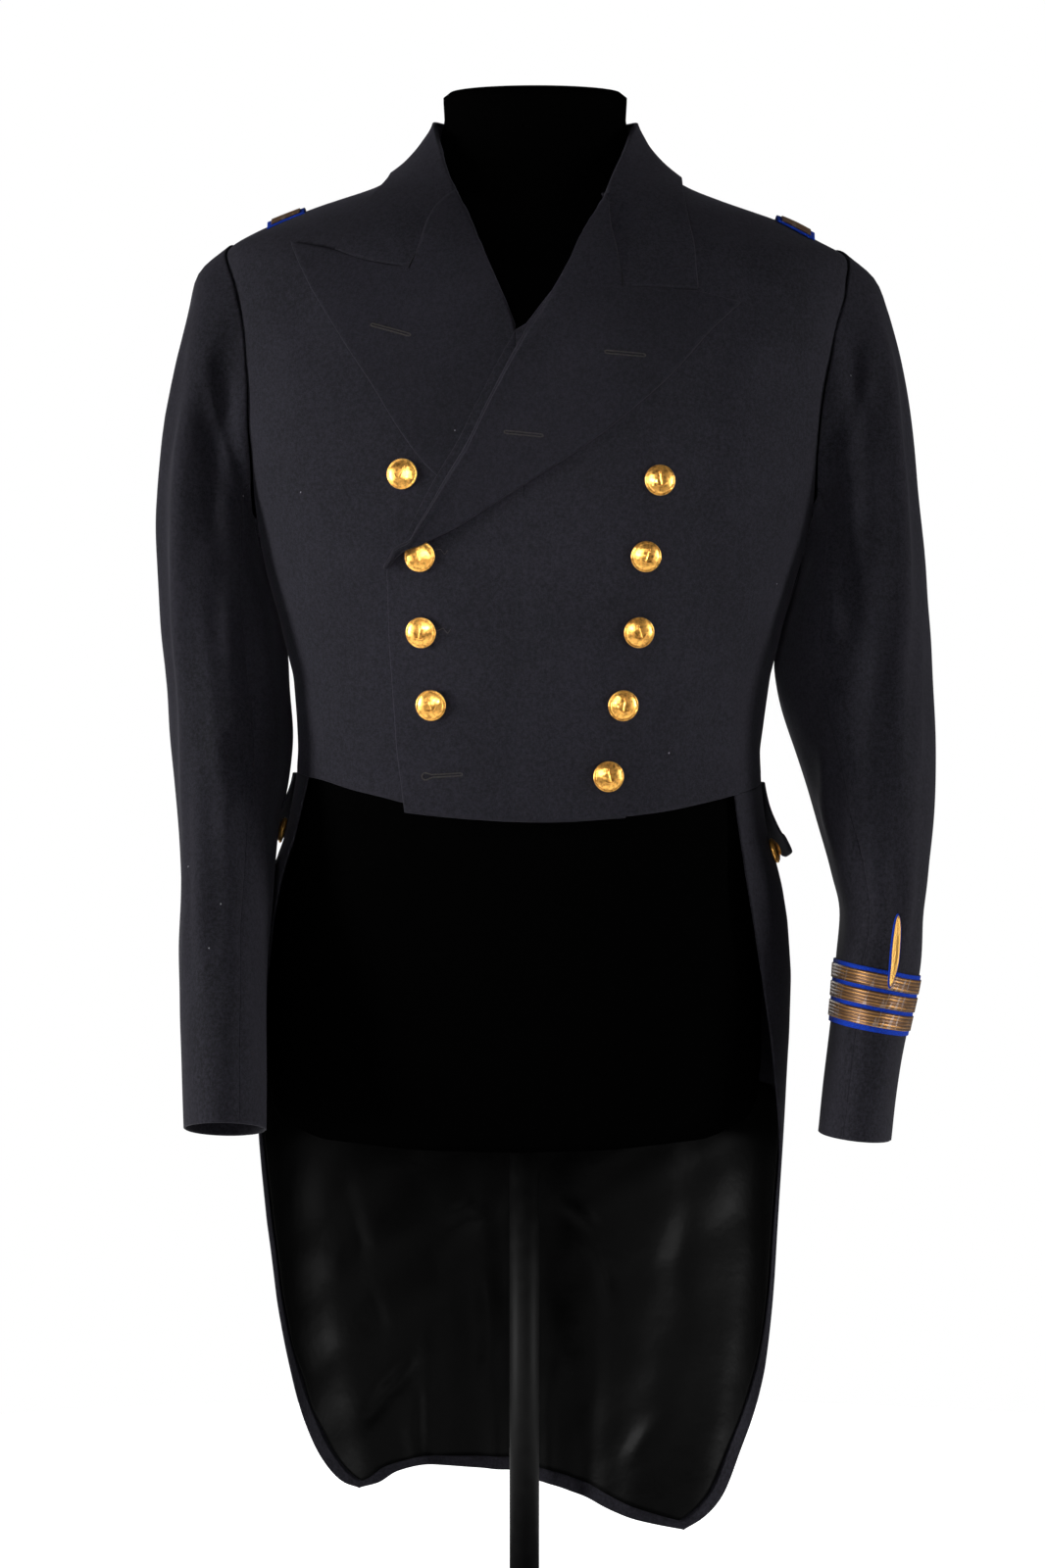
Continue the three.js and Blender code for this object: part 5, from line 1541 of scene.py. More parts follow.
@dataclass
class Tails(Coat):
    """Tails with their satin lining."""

    rows: int = 20
    columns: int = 9
    centre_gap: float = 0.5
    lining_drop: float = 1.6
    lining_wall: float = 0.9
    lining_from: int = 8
    inset_edge: float = 12.0
    inset_hem: float = 11.0
    lining_creases: tuple = (
        Crease(((-82, 200), (-105, 176), (-124, 150)), 3.5, 6),
        Crease(((-62, 306), (-44, 316), (-30, 312)), 2.2, 4),
        Crease(((30, 318), (45, 308), (58, 296)), 2.2, 4),
        Crease(((52, 292), (62, 262), (70, 230)), 2.0, 5),
        Crease(((-80, 178), (-81, 150), (-80, 122)), 2.2, 4),
        Crease(((-140, 340), (-128, 290), (-132, 240)), 2.6, 9),
        Crease(((-120, 260), (-112, 225), (-120, 190)), 2.2, 8),
        Crease(((128, 330), (118, 270), (124, 210)), 2.4, 10),
        Crease(((110, 160), (92, 140), (76, 118)), 2.2, 7),
        Crease(((20, 250), (28, 200), (18, 150)), 2.0, 8),
        Crease(((-30, 260), (-24, 215), (-34, 170)), 2.0, 8),
        Crease(((-5, 340), (-4, 240), (-6, 130)), -1.6, 4),
    )

    @staticmethod
    def fold(turn: np.ndarray, z: np.ndarray) -> np.ndarray:
        """Outward move of the tails' long folds."""
        total = np.zeros(np.shape(turn))
        for top, z_top, bottom, z_bottom, rise, spread in TAIL_FOLDS:
            along = (z_top - z) / (z_top - z_bottom)
            line = top + (bottom - top) * along
            away = (turn - line) * DEGREE_SPAN / spread
            strength = np.minimum(np.maximum(along, 0) * 1.4, 1)
            total += rise * strength * np.exp(-(away**2))
        return total

    def grid(self, name: str) -> np.ndarray:
        """Grid over a tail, from its front edge to the centre back and from the waist down."""
        side = ARMHOLE[name]["side"]
        waist = [*WAIST[name], *WAIST[f"{name}Side"][1:], *WAIST[f"{name}Back"][1:]]
        lowered = [[turn, z - 2 * SEAM] for turn, z in waist]
        down, across = self.rows * (FINE - 1), self.columns * (FINE + 2)
        return fill(leg([lowered[0], *TAIL_EDGE[name][1:]], down),
                    leg([[side * 180, 648], TAIL_HEM[name][-1]], down),
                    leg(lowered, across), leg(TAIL_HEM[name], across))

    def build(self) -> None:
        """Builds tails and linings."""
        for name in ARMHOLE:
            grid = self.grid(name)
            turn, z = grid[..., 0], grid[..., 1]
            waves = 0.8 * unevenness(turn * DEGREE_SPAN, z, 190, 51) * smoothstep(-z, -560, -420)
            fold = self.fold(turn, z) + waves
            outer = trimmed(FACE.point(turn, z, fold + WALL), self.centre_gap)
            inner = trimmed(FACE.point(turn, z, fold), self.centre_gap)
            pinch = seam_pinch(*outer.shape[:2], "br", 0.5)[..., None]
            normal = grid_normals(outer)
            facing = np.sign((normal * (outer - inner)).sum(-1, keepdims=True))
            outer, inner = outer + normal * facing * pinch, inner + normal * facing * pinch
            piece = shell(f"cloth_tail_{name}", outer, inner)
            self.finishes.dress(piece, "wool", f"tail_{name}")

            start = self.lining_from * (FINE - 1)
            rows = slice(start, None)
            base = FACE.point(turn[rows], z[rows], fold[rows])
            inward = -FACE.normal(turn[rows], z[rows])
            x = base[..., 0]
            relief = crease_height(self.lining_creases, x, base[..., 2])
            relief += 1.1 * unevenness(x, base[..., 2], 70, 53) * smoothstep(np.abs(x), -1, 20)
            behind = smoothstep(base[..., 1], 30, 70)
            drop = self.lining_drop + np.maximum(relief, -0.9) * behind
            face = self.drawn_in(base + inward * (drop + self.lining_wall)[..., None])
            back = self.drawn_in(base + inward * drop[..., None])
            lining = shell(f"lining_tail_{name}", face, back)
            self.finishes.dress(lining, "satin", f"tail_lining_{name}")

    def drawn_in(self, points: np.ndarray) -> np.ndarray:
        """Cuts a lining back from the tail's edge and hem, where the facing of the tail's own cloth shows."""
        rows, columns = points.shape[:2]
        across = lengths_along(points, 1)
        moved = np.empty_like(points)
        for j in range(rows):
            even = np.linspace(self.inset_edge, across[j, -1] - self.centre_gap, columns)
            moved[j] = read_along(even, across[j], points[j])
        down = lengths_along(moved, 0)
        result = np.empty_like(moved)
        for i in range(columns):
            even = np.linspace(0, down[-1, i] - self.inset_hem, rows)
            result[:, i] = read_along(even, down[:, i], moved[:, i])
        return result


# How far each sleeve's inner side is drawn in: minus its height, and the distance there.
SLEEVE_DRAWN_IN = {
    "left": ((-812, -800, -790, -769, -750, -739, -725, -698, -660), (0, 3, 5.5, 8.5, 8.5, 7, 4.5, 1.5, 0)),
    "right": ((-815, -800, -787, -766, -747, -712, -676, -640, -612, -576, -545, -500),
              (0, 3.5, 6, 6.5, 3.5, 1, 2, 6.5, 7, 5, 2, 0)),
}


@dataclass
class Sleeves(Coat):
    """Two-piece sleeves."""

    seam_front: float = 118.0
    seam_back: float = -118.0
    gap: float = 0.3
    top_columns: int = 66
    under_columns: int = 34
    row_length: float = 4.6
    creases: dict = field(default_factory=lambda: {
        "left": (
            Crease(((258, 985), (263, 947), (266, 916), (269, 883), (271, 850), (273, 782), (272, 753),
                    (269, 715), (269, 667), (268, 616), (267, 581), (266, 547), (262, 480)), 2.6, 4),
            Crease(((272, 960), (279, 900), (284, 840), (284, 770)), -2.2, 6),
            Crease(((288, 760), (288, 748), (286, 700), (284, 640)), 2.0, 5),
            Crease(((219, 700), (220, 658), (221, 624), (225, 590), (229, 550)), 3.2, 6),
            Crease(((240, 650), (238, 631), (236, 598), (233, 560)), 2.6, 5),
            Crease(((250, 985), (252, 940), (254, 900)), 1.4, 8),
            Crease(((238, 965), (241, 930), (243, 895)), -3.0, 7),
            Crease(((226, 930), (232, 880), (238, 820), (245, 770)), 1.5, 8),
            Crease(((218, 880), (228, 820), (234, 770), (232, 720)), -5.5, 9),
            Crease(((258, 790), (256, 740), (250, 680), (244, 620), (244, 560)), -3.4, 9),
            Crease(((222, 800), (240, 778), (262, 766)), 1.8, 8),
            Crease(((212, 750), (232, 732), (252, 722)), 2.0, 7),
            Crease(((228, 520), (250, 508), (275, 512)), 1.6, 8),
        ),
        "right": (
            Crease(((-214, 990), (-224, 965), (-233, 941), (-240, 912), (-245, 885), (-247, 855), (-248, 810),
                    (-249, 770), (-248, 720), (-247, 680), (-246, 620), (-244, 560)), 3.4, 5),
            Crease(((-262, 900), (-266, 850), (-264, 790), (-262, 730)), -2.4, 6),
            Crease(((-272, 840), (-273, 780), (-270, 700)), 1.6, 5),
            Crease(((-212, 972), (-216, 930), (-222, 890), (-222, 845), (-218, 800), (-214, 760)), -5.5, 10),
            Crease(((-205, 950), (-205, 905), (-206, 860)), 1.6, 6),
            Crease(((-232, 770), (-228, 720), (-222, 670), (-216, 620), (-212, 560)), 3.0, 7),
            Crease(((-200, 770), (-198, 720), (-200, 670)), -3.0, 8),
            Crease(((-194, 795), (-188, 743), (-182, 690)), 2.0, 7),
            Crease(((-200, 700), (-214, 676), (-232, 660)), 2.2, 8),
            Crease(((-196, 640), (-212, 622), (-232, 612)), 2.0, 8),
            Crease(((-232, 560), (-232, 500), (-230, 440)), -1.8, 10),
        ),
    })

    @staticmethod
    def rings(name: str, angle: np.ndarray) -> np.ndarray:
        """Points of all the rings at the given angles; angle 0 is the outer side and 90 the front.

        Args:
            name: left or right.
            angle: angles in degrees.

        Returns:
            Rings by angles by 3, the first ring on the armhole.
        """
        hole = ARMHOLE[name]
        way = np.radians(angle)
        z = hole["centre"] + (hole["high"] + WALL) * np.cos(way)
        y = hole["middle"] - (hole["deep"] + WALL) * np.sin(way)
        found = [FACE.point(FACE.turn_at_depth(y, z, hole["side"]), z, SLEEVE_HEAD_LIFT)]
        for in_x, in_z, out_x, out_z, middle, deep, rake in SLEEVE_ROWS[name]:
            in_x -= float(np.interp(-in_z, *SLEEVE_DRAWN_IN[name]))
            across, ahead = np.cos(way), np.sin(way)
            found.append(np.stack([
                hole["side"] * ((in_x + out_x) / 2 + (out_x - in_x) / 2 * across),
                middle - ahead * deep,
                (in_z + out_z) / 2 + (out_z - in_z) / 2 * across + rake * ahead], -1))
        return np.stack(found)

    def rows(self, name: str) -> np.ndarray:
        """Ring numbers, whole and part, of the fine rows down a sleeve."""
        rings = self.rings(name, np.array([0.0, 90.0, 180.0]))
        steps = np.linalg.norm(np.diff(rings, axis=0), axis=-1).mean(-1)
        along = np.concatenate([[0], np.cumsum(steps)])
        count = int(along[-1] / self.row_length)
        even = np.linspace(0, along[-1], count)
        even = np.sort(np.concatenate([even, [1.2, along[-1] - 1.2]]))
        return np.interp(even, along, np.arange(len(along)))

    def between(self, rings: np.ndarray, rows: np.ndarray) -> np.ndarray:
        """Smooth points between rings."""
        before = np.concatenate([2 * rings[:1] - rings[1:2], rings, 2 * rings[-1:] - rings[-2:-1]])
        i = np.clip(rows.astype(int), 0, len(rings) - 2)
        t = (rows - i)[:, None, None]
        p0, p1, p2, p3 = (before[i + k] for k in range(4))
        return 0.5 * (2 * p1 + (p2 - p0) * t + (2 * p0 - 5 * p1 + 4 * p2 - p3) * t**2
                      + (3 * p1 - p0 - 3 * p2 + p3) * t**3)

    def face(self, name: str, angle: np.ndarray, rows: np.ndarray, folded: bool = True) -> tuple:
        """Outer face of a sleeve and its outward normals.

        Args:
            name: left or right.
            angle: angles of the columns in degrees.
            rows: ring numbers of the rows.
            folded: whether the creases are on it.

        Returns:
            Grids of points and normals.
        """
        points = self.between(self.rings(name, angle), rows)
        middle = self.between(self.rings(name, np.linspace(0, 330, 12)), rows).mean(1, keepdims=True)
        normal = grid_normals(points)
        normal *= np.sign((normal * (points - middle)).sum(-1, keepdims=True))
        if not folded:
            return points, normal
        rise = np.zeros(points.shape[:2])
        for top, bottom, first, last, height, spread in SLEEVE_FOLDS[name]:
            along = np.clip((rows - first) / (last - first), 0, 1)[:, None]
            line = top + (bottom - top) * along
            fade = np.minimum(1, np.sin(np.pi * along) * 2.2)
            rise += height * fade * np.exp(-(((angle[None, :] - line) / spread) ** 2))
        seen = smoothstep(-normal[..., 1], 0.05, 0.35)
        rise += seen * crease_height(self.creases[name], points[..., 0], points[..., 2])
        girth = angle[None, :] * 0.95
        down = points[..., 2]
        settle = smoothstep(rows, 0.4, 3)[:, None]
        settle = settle * smoothstep(-rows, -len(SLEEVE_ROWS[name]), -14.5)[:, None]
        rise += settle * (1.0 * unevenness(girth, down, 150, 61) + 0.5 * unevenness(girth, down, 60, 62))
        return points + normal * rise[..., None], normal

    def build(self) -> None:
        """Builds the four pieces."""
        for name in ARMHOLE:
            rows = self.rows(name)
            spans = {
                "top_sleeve": (self.seam_back, self.seam_front, self.top_columns),
                "under_sleeve": (self.seam_front, self.seam_back + 360, self.under_columns),
            }
            for kind, (seam_start, seam_end, columns) in spans.items():
                start, end = seam_start + self.gap, seam_end - self.gap
                angle = np.linspace(start, end, columns)
                angle = np.sort(np.concatenate([angle, [start + 0.8, end - 0.8]]))
                outer, normal = self.face(name, angle, rows)
                pinch = seam_pinch(*outer.shape[:2], "lrb", 0.6)[..., None]
                outer = outer + normal * pinch
                inner = outer - normal * WALL
                piece = shell(f"cloth_{kind}_{name}", outer, inner)
                self.finishes.dress(piece, "wool", f"{kind}_{name}")


@dataclass
class Flaps(Coat):
    """Hip pocket flaps, flared at their points."""

    lift: float = 2.4
    levels: int = 24

    def build(self) -> None:
        """Builds both flaps."""
        for name, flap in FLAPS.items():
            rows = np.array(flap["rows"], float)
            at = np.linspace(0, len(rows) - 1, 5 * FINE)
            turn, bottom, flare = (np.interp(at, np.arange(len(rows)), rows[:, k]) for k in range(3))
            v = np.linspace(0, 1, self.levels)[:, None]
            grid = trimmed(np.stack([np.broadcast_to(turn, (self.levels, len(turn))),
                                     flap["top"] + (bottom - flap["top"]) * v], -1))
            v = np.linspace(0, 1, grid.shape[0])[:, None]
            flare = np.interp(np.linspace(0, 1, grid.shape[1]), np.linspace(0, 1, len(flare)), flare)
            lift = self.lift + flare * v**1.6
            self.sheet(f"cloth_pocket_flap_{name}", grid, lift, "wool", f"pocket_flap_{name}",
                       rests_on=(f"cloth_tail_{name}",))


@dataclass
class Form:
    """Limbless form in black velvet on a pole and a round base."""

    finishes: Finishes
    sides: int = 120
    shoulder_drop: float = 6.0
    shoulder_from: float = 940.0
    pole_radius: float = 11.0
    pole_bottom: float = 9.3
    pole_top: float = 370.7
    base_radius: float = 155.0
    base_thick: float = 9.0

    def build(self) -> None:
        """Builds the form, the pole and the base."""
        levels = [(row[0], 0.0, np.array(row[1:])) for row in FORM_HIP_ROWS]
        for z in FORM_EASED_LEVELS:
            drop = self.shoulder_drop * float(smoothstep(z, self.shoulder_from, self.shoulder_from + 60))
            levels.append((z, FORM_EASE, FACE.section(np.array(z + drop))))
        levels += [(row[0], 0.0, np.array(row[1:])) for row in FORM_NECK_ROWS]
        turn = np.linspace(0, 360, self.sides, endpoint=False)
        rings = np.stack([section_points(np.broadcast_to(section, (self.sides, 6)), turn, z, ease)
                          for z, ease, section in levels])
        at = np.linspace(0, len(rings) - 1, 4 * len(rings))
        i = np.clip(at.astype(int), 0, len(rings) - 2)
        t = (at - i)[:, None, None]
        rings = rings[i] * (1 - t) + rings[i + 1] * t
        bottom = rings[0].mean(0)
        top = rings[-1].mean(0) + (0, 0, 0.4)
        vertices = np.vstack([rings.reshape(-1, 3), bottom, top])
        count = len(rings) * self.sides
        number = np.arange(count).reshape(len(rings), self.sides)
        after = np.roll(number, -1, 1)
        faces = np.stack([number[:-1], after[:-1], after[1:], number[1:]], -1).reshape(-1, 4).tolist()
        faces += [[count, b, a] for a, b in zip(number[0].tolist(), after[0].tolist())]
        faces += [[count + 1, a, b] for a, b in zip(number[-1].tolist(), after[-1].tolist())]
        self.finishes.dress(add_mesh("dress_form_body", vertices, faces), "velvet", "dress_form")
        radius, thick = self.base_radius, self.base_thick
        base = [[0, 0], [radius - 0.8, 0], [radius, 0.8], [radius, thick - 3], [radius - 0.9, thick - 0.9],
                [radius - 3, thick], [self.pole_radius + 9, thick], [0, thick]]
        self.finishes.dress(add_mesh("stand_base_disc", *lathe(base, 128)), "enamel", "stand_base")
        low, high, pole = self.pole_bottom, self.pole_top, self.pole_radius
        stem = [[0, low], [pole, low], [pole, high], [0, high]]
        self.finishes.dress(add_mesh("stand_pole_tube", *lathe(stem, 48)), "enamel", "stand_pole")


@dataclass
class Buttons:
    """Domed gilt buttons with a roped rim and a plain anchor."""

    finishes: Finishes
    front_radius: float = 11.0
    hip_radius: float = 9.5
    height: float = 6.3
    seat: float = 0.35
    edge_room: float = 12.0
    dome_foot: float = 2.5
    below_dome: float = 3.2
    dome_power: float = 0.8
    relief: float = 0.34
    ropes: int = 36

    def crown(self, square: float) -> float:
        """Height of the dome, from the squared share of the radius."""
        return self.dome_foot + (self.height - self.below_dome) * max(0.0, 1 - square) ** self.dome_power

    def shape(self, radius: float) -> tuple[np.ndarray, list]:
        """Button about Z, its back at height 0.

        Args:
            radius: outer radius.

        Returns:
            Vertices and faces.
        """
        dome = [[0, 0], [0.55 * radius, 0], [0.93 * radius, 0.7], [0.99 * radius, 1.5], [1.0 * radius, 2.1],
                [0.985 * radius, 2.6], [0.95 * radius, 2.85], [0.90 * radius, 2.75], [0.87 * radius, 2.55]]
        share = np.linspace(0.84, 0.02, 12)
        dome += [[s * radius, self.crown(s**2)] for s in [*share, 0.0]]
        parts = [lathe(dome, 72)]
        steps = 4 * self.ropes
        angle = np.linspace(0, math.tau, steps, endpoint=False)
        around = 0.80 * radius + 0.20 * np.sin(angle * self.ropes)
        ring = np.stack([around * np.cos(angle), around * np.sin(angle), np.full(steps, 3.35)], -1)
        parts.append(tube(ring, 0.5 + 0.13 * np.cos(angle * self.ropes), 8, True))
        parts += self.anchor(radius)
        return joined(parts)

    def anchor(self, radius: float) -> list:
        """Plain anchor in low relief: ring, stock, shank, arms and flukes."""
        size = radius / self.front_radius

        def bar(points: list, thick) -> tuple[np.ndarray, np.ndarray]:
            """Bar that follows the dome, just above it."""
            flat = np.array(points, float) * size
            high = [self.crown((x * x + y * y) / radius**2) + self.relief for x, y in flat]
            return tube(np.column_stack([flat, high]), np.asarray(thick, float) * size, 6)

        arc = [(4.4 * math.sin(a), -0.6 - 3.6 * math.cos(a)) for a in np.linspace(-1.15, 1.15, 15)]
        eye = [(0.95 * math.sin(a), 5.2 + 0.95 * math.cos(a)) for a in np.linspace(0, math.tau, 13)]
        thick = 0.78 - 0.34 * np.abs(np.linspace(-1, 1, 15)) ** 2
        flukes = [bar([(s * 4.9, 0.2), (s * 4.1, 0.9), (s * 3.3, 0.1)], [0.2, 0.55, 0.2]) for s in (-1, 1)]
        shank = bar([(0, 4.2), (0, 2.0), (0, 0), (0, -2.0), (0, -4.4)], 0.72)
        stock = bar([(-2.9, 3.1), (-1.4, 3.2), (0, 3.2), (1.4, 3.2), (2.9, 3.1)],
                    [0.42, 0.4, 0.45, 0.4, 0.42])
        return [shank, bar(arc, thick), bar(eye, 0.32), stock, *flukes]

    def seat_at(self, name: str, radius: float, turn: float, z: float, lift: float, spin: float,
                node: str) -> None:
        """Sets one button on the cloth.

        Args:
            name: the piece's name.
            radius: outer radius.
            turn: direction of its place on the coat.
            z: height of its place.
            lift: lift of the cloth's outer face there.
            spin: how far it has turned about its own axis, in degrees.
            node: the solid that it replaces.
        """
        vertices, faces = self.shape(radius)
        seat = FACE.point(turn, z, lift + self.seat)
        out = FACE.normal(np.array(float(turn)), np.array(float(z)))
        across = unit(np.cross(np.array([0.0, 0, 1]), out))
        up = np.cross(out, across)
        angle = math.radians(spin)
        first = across * math.cos(angle) + up * math.sin(angle)
        second = np.cross(out, first)
        placed = seat + vertices @ np.stack([first, second, out])
        self.finishes.dress(add_mesh(name, placed, faces), "gilt", node)

    def build(self) -> None:
        """Builds all the buttons."""
        spins = (8, -14, 20, -6, 12, -24, 10, -9, 17)
        for button, spin in zip(BUTTONS, spins):
            x, z = button["x"], button["z"]
            turn = float(FACE.turn_across(x, z))
            on_left = x > OVERLAP_EDGE[-1][0] + self.edge_room
            over = float(left_lift(np.array(turn), np.array(float(z)))) if on_left else 0.0
            self.seat_at(f"gilt_{button['name']}", self.front_radius, turn, z, over + WALL, spin,
                         button["name"])
        for name, place in HIP_BUTTONS.items():
            self.seat_at(f"gilt_hip_button_{name}", self.hip_radius, place["turn"], place["z"], WALL, 15,
                         f"hip_button_{name}")


@dataclass
class ShoulderLoops:
    """Shoulder loops: a blue backing with a narrower strip of lace on it."""

    finishes: Finishes
    width: float = 27.0
    lace: float = 20.5
    length: float = 56.0
    arch: float = 2.6
    wall: float = 1.3
    lace_wall: float = 0.8
    lace_short: float = 6.0
    gap: float = 0.1
    rows: int = 40
    columns: int = 16
    search: tuple = (980.0, 1120.0)
    halvings: int = 30

    def shoulder_height(self, x: np.ndarray, y: np.ndarray) -> np.ndarray:
        """Height of the shoulder at a place seen from above."""
        low, high = (np.full(x.shape, end) for end in self.search)
        for _ in range(self.halvings):
            z = (low + high) / 2
            half, front, back, middle, shift, square = np.moveaxis(FACE.section(z), -1, 0)
            depth = np.where(y < middle, front, back)
            inside = np.abs((x - shift) / half) ** square + np.abs((y - middle) / depth) ** square < 1
            low, high = np.where(inside, z, low), np.where(inside, high, z)
        return (low + high) / 2

    def strip(self, name: str, x: float, width: float, length: float, lift: float, wall: float) -> tuple:
        """One strip across the shoulder.

        Args:
            name: the piece's name.
            x: its middle across.
            width: its width.
            length: its length from front to back.
            lift: lift of its underside.
            wall: its thickness.

        Returns:
            The piece and its upper face.
        """
        steps = [np.linspace(-0.5, 0.5, count) for count in (self.rows, self.columns)]
        v, u = np.meshgrid(*steps, indexing="ij")
        px, py = x + width * u, length * v
        z = self.shoulder_height(px, py)
        section = FACE.section(z)
        turn = np.degrees(np.arctan2(px - section[..., 4], -(py - section[..., 3])))
        arch = self.arch * np.cos(np.pi * py / self.length) ** 2
        outer = trimmed(FACE.point(turn, z, lift + arch + wall), 0.1)
        inner = trimmed(FACE.point(turn, z, lift + arch), 0.1)
        return shell(name, outer, inner), outer

    def build(self) -> None:
        """Builds both loops."""
        for name, place in LOOPS.items():
            lift = place["lift"] + self.gap
            loop, face = self.strip(f"blue_shoulder_loop_{name}", place["x"], self.width, self.length, lift,
                                    self.wall)
            self.finishes.dress(loop, "edging", f"shoulder_loop_{name}")
            lace, face = self.strip(f"lace_shoulder_loop_{name}", place["x"], self.lace,
                                    self.length - self.lace_short, lift + self.wall + self.gap,
                                    self.lace_wall)
            self.finishes.dress(lace, "lace", f"loop_lace_{name}")


@dataclass
class RankLace:
    """Rank lace round the left sleeve: blue backing, three bands and one curl."""

    finishes: Finishes
    sleeves: Sleeves
    top: float = 512.0
    backing: float = 45.0
    bands: int = 3
    band: float = 10.4
    edge: float = 3.3
    tilt: float = -4.5
    lean: float = -0.2
    curl_angle: float = 82.0
    curl_middle: float = 523.0
    curl_end: float = 3.2
    columns: int = 150

    def on_sleeve(self, angle: np.ndarray, level: np.ndarray, lift: np.ndarray) -> np.ndarray:
        """Points on the left sleeve at heights measured on its inner side.

        Args:
            angle: angles round the sleeve, one for each column.
            level: heights, of rows by columns.
            lift: how far off the sleeve, of the same shape.

        Returns:
            Grid of points.
        """
        heights = np.array([row[1] for row in SLEEVE_ROWS["left"]])
        rows = np.linspace(9, len(heights), 220)
        points, normal = self.sleeves.face("left", angle, rows)
        number = np.interp(-level, -heights, np.arange(1, len(heights) + 1))
        at = np.interp(number, rows, np.arange(len(rows)))
        low = np.clip(at.astype(int), 0, len(rows) - 2)
        t = (at - low)[..., None]
        column = np.broadcast_to(np.arange(len(angle)), level.shape)
        spot = points[low, column] * (1 - t) + points[low + 1, column] * t
        out = normal[low, column] * (1 - t) + normal[low + 1, column] * t
        return spot + unit(out) * lift[..., None]

    def tube_at(self, name: str, top: float, width: float, lift: float, wall: float, rows: int) -> tuple:
        """One band all round the sleeve."""
        angle = np.linspace(-180, 180, self.columns, endpoint=False)
        tilt = self.tilt * (1 + np.cos(np.radians(angle))) / 2
        drop = np.linspace(0, width, rows)
        level = top - drop[:, None] + tilt[None, :]
        crown = np.full(level.shape, lift)
        outer = self.on_sleeve(angle, level, crown + wall)
        inner = self.on_sleeve(angle, level, crown)
        return shell(name, outer, inner, True), outer

    def build(self) -> None:
        """Builds backing, bands and curl."""
        backing, face = self.tube_at("blue_rank_backing", self.top, self.backing, lift=0.25, wall=0.9,
                                      rows=22)
        self.finishes.dress(backing, "edging", "rank_backing")
        for i in range(self.bands):
            top = self.top - self.edge - i * (self.band + self.edge)
            band, face = self.tube_at(f"lace_rank_band_{i + 1}", top, self.band, lift=1.25, wall=0.8, rows=9)
            self.finishes.dress(band, "lace", f"rank_band_{i + 1}")
        self.loop("lace_rank_curl", "curl_lace", ("rank_curl",), tall=24.5, wide=0.3, band=2.5, lift=3.2,
                  wall=1.6)
        self.loop("blue_curl_edging", "edging", (), tall=26.0, wide=0.2, band=4.3, lift=1.9, wall=1.2)

    def loop(self, name: str, slot: str, nodes: tuple, tall: float, wide: float, band: float, lift: float,
             wall: float) -> None:
        """The curl above the bands: an upright loop of lace or its blue edging.

        Args:
            name: the piece's name.
            slot: its finish.
            nodes: solids that it replaces.
            tall: half its height.
            wide: half its inner width in degrees round the sleeve.
            band: width of the lace in degrees round the sleeve.
            lift: lift off the sleeve.
            wall: thickness.
        """
        steps, across = 64, 7
        around = np.linspace(0, math.tau, steps, endpoint=False)
        share = np.linspace(0, 1, across)[:, None]
        rise = np.cos(around)[None, :]
        angle = self.curl_angle - (wide + share * band) * np.sin(around)[None, :] - self.lean * rise
        level = self.curl_middle + (tall - self.curl_end + share * self.curl_end) * rise
        rings = self.fine_lookup(angle, level)
        outer, inner = (rings[0] + rings[1] * height for height in (lift + wall, lift))
        piece = shell(name, outer, inner, True)
        self.finishes.dress(piece, slot, *nodes, record_slot=slot.removeprefix("curl_"))

    def fine_lookup(self, angle: np.ndarray, level: np.ndarray) -> tuple:
        """Points and normals at scattered angles and heights."""
        steps, margin = 90, 2
        columns = np.linspace(angle.min() - margin, angle.max() + margin, steps)
        heights = np.linspace(level.max() + margin, level.min() - margin, steps)
        grid_level = np.broadcast_to(heights[:, None], (steps, steps))
        zero = np.zeros((steps, steps))
        base = self.on_sleeve(columns, grid_level, zero)
        normal = self.on_sleeve(columns, grid_level, zero + 1) - base
        at_row = np.interp(-level, -heights, np.arange(steps))
        at_column = np.interp(angle, columns, np.arange(steps))
        row, column = (np.clip(at.astype(int), 0, steps - 2) for at in (at_row, at_column))
        s, t = (at_row - row)[..., None], (at_column - column)[..., None]

        def blend(grid: np.ndarray) -> np.ndarray:
            """Blends the four nearest points."""
            low = grid[row, column] * (1 - t) + grid[row, column + 1] * t
            high = grid[row + 1, column] * (1 - t) + grid[row + 1, column + 1] * t
            return low * (1 - s) + high * s

        return blend(base), unit(blend(normal))


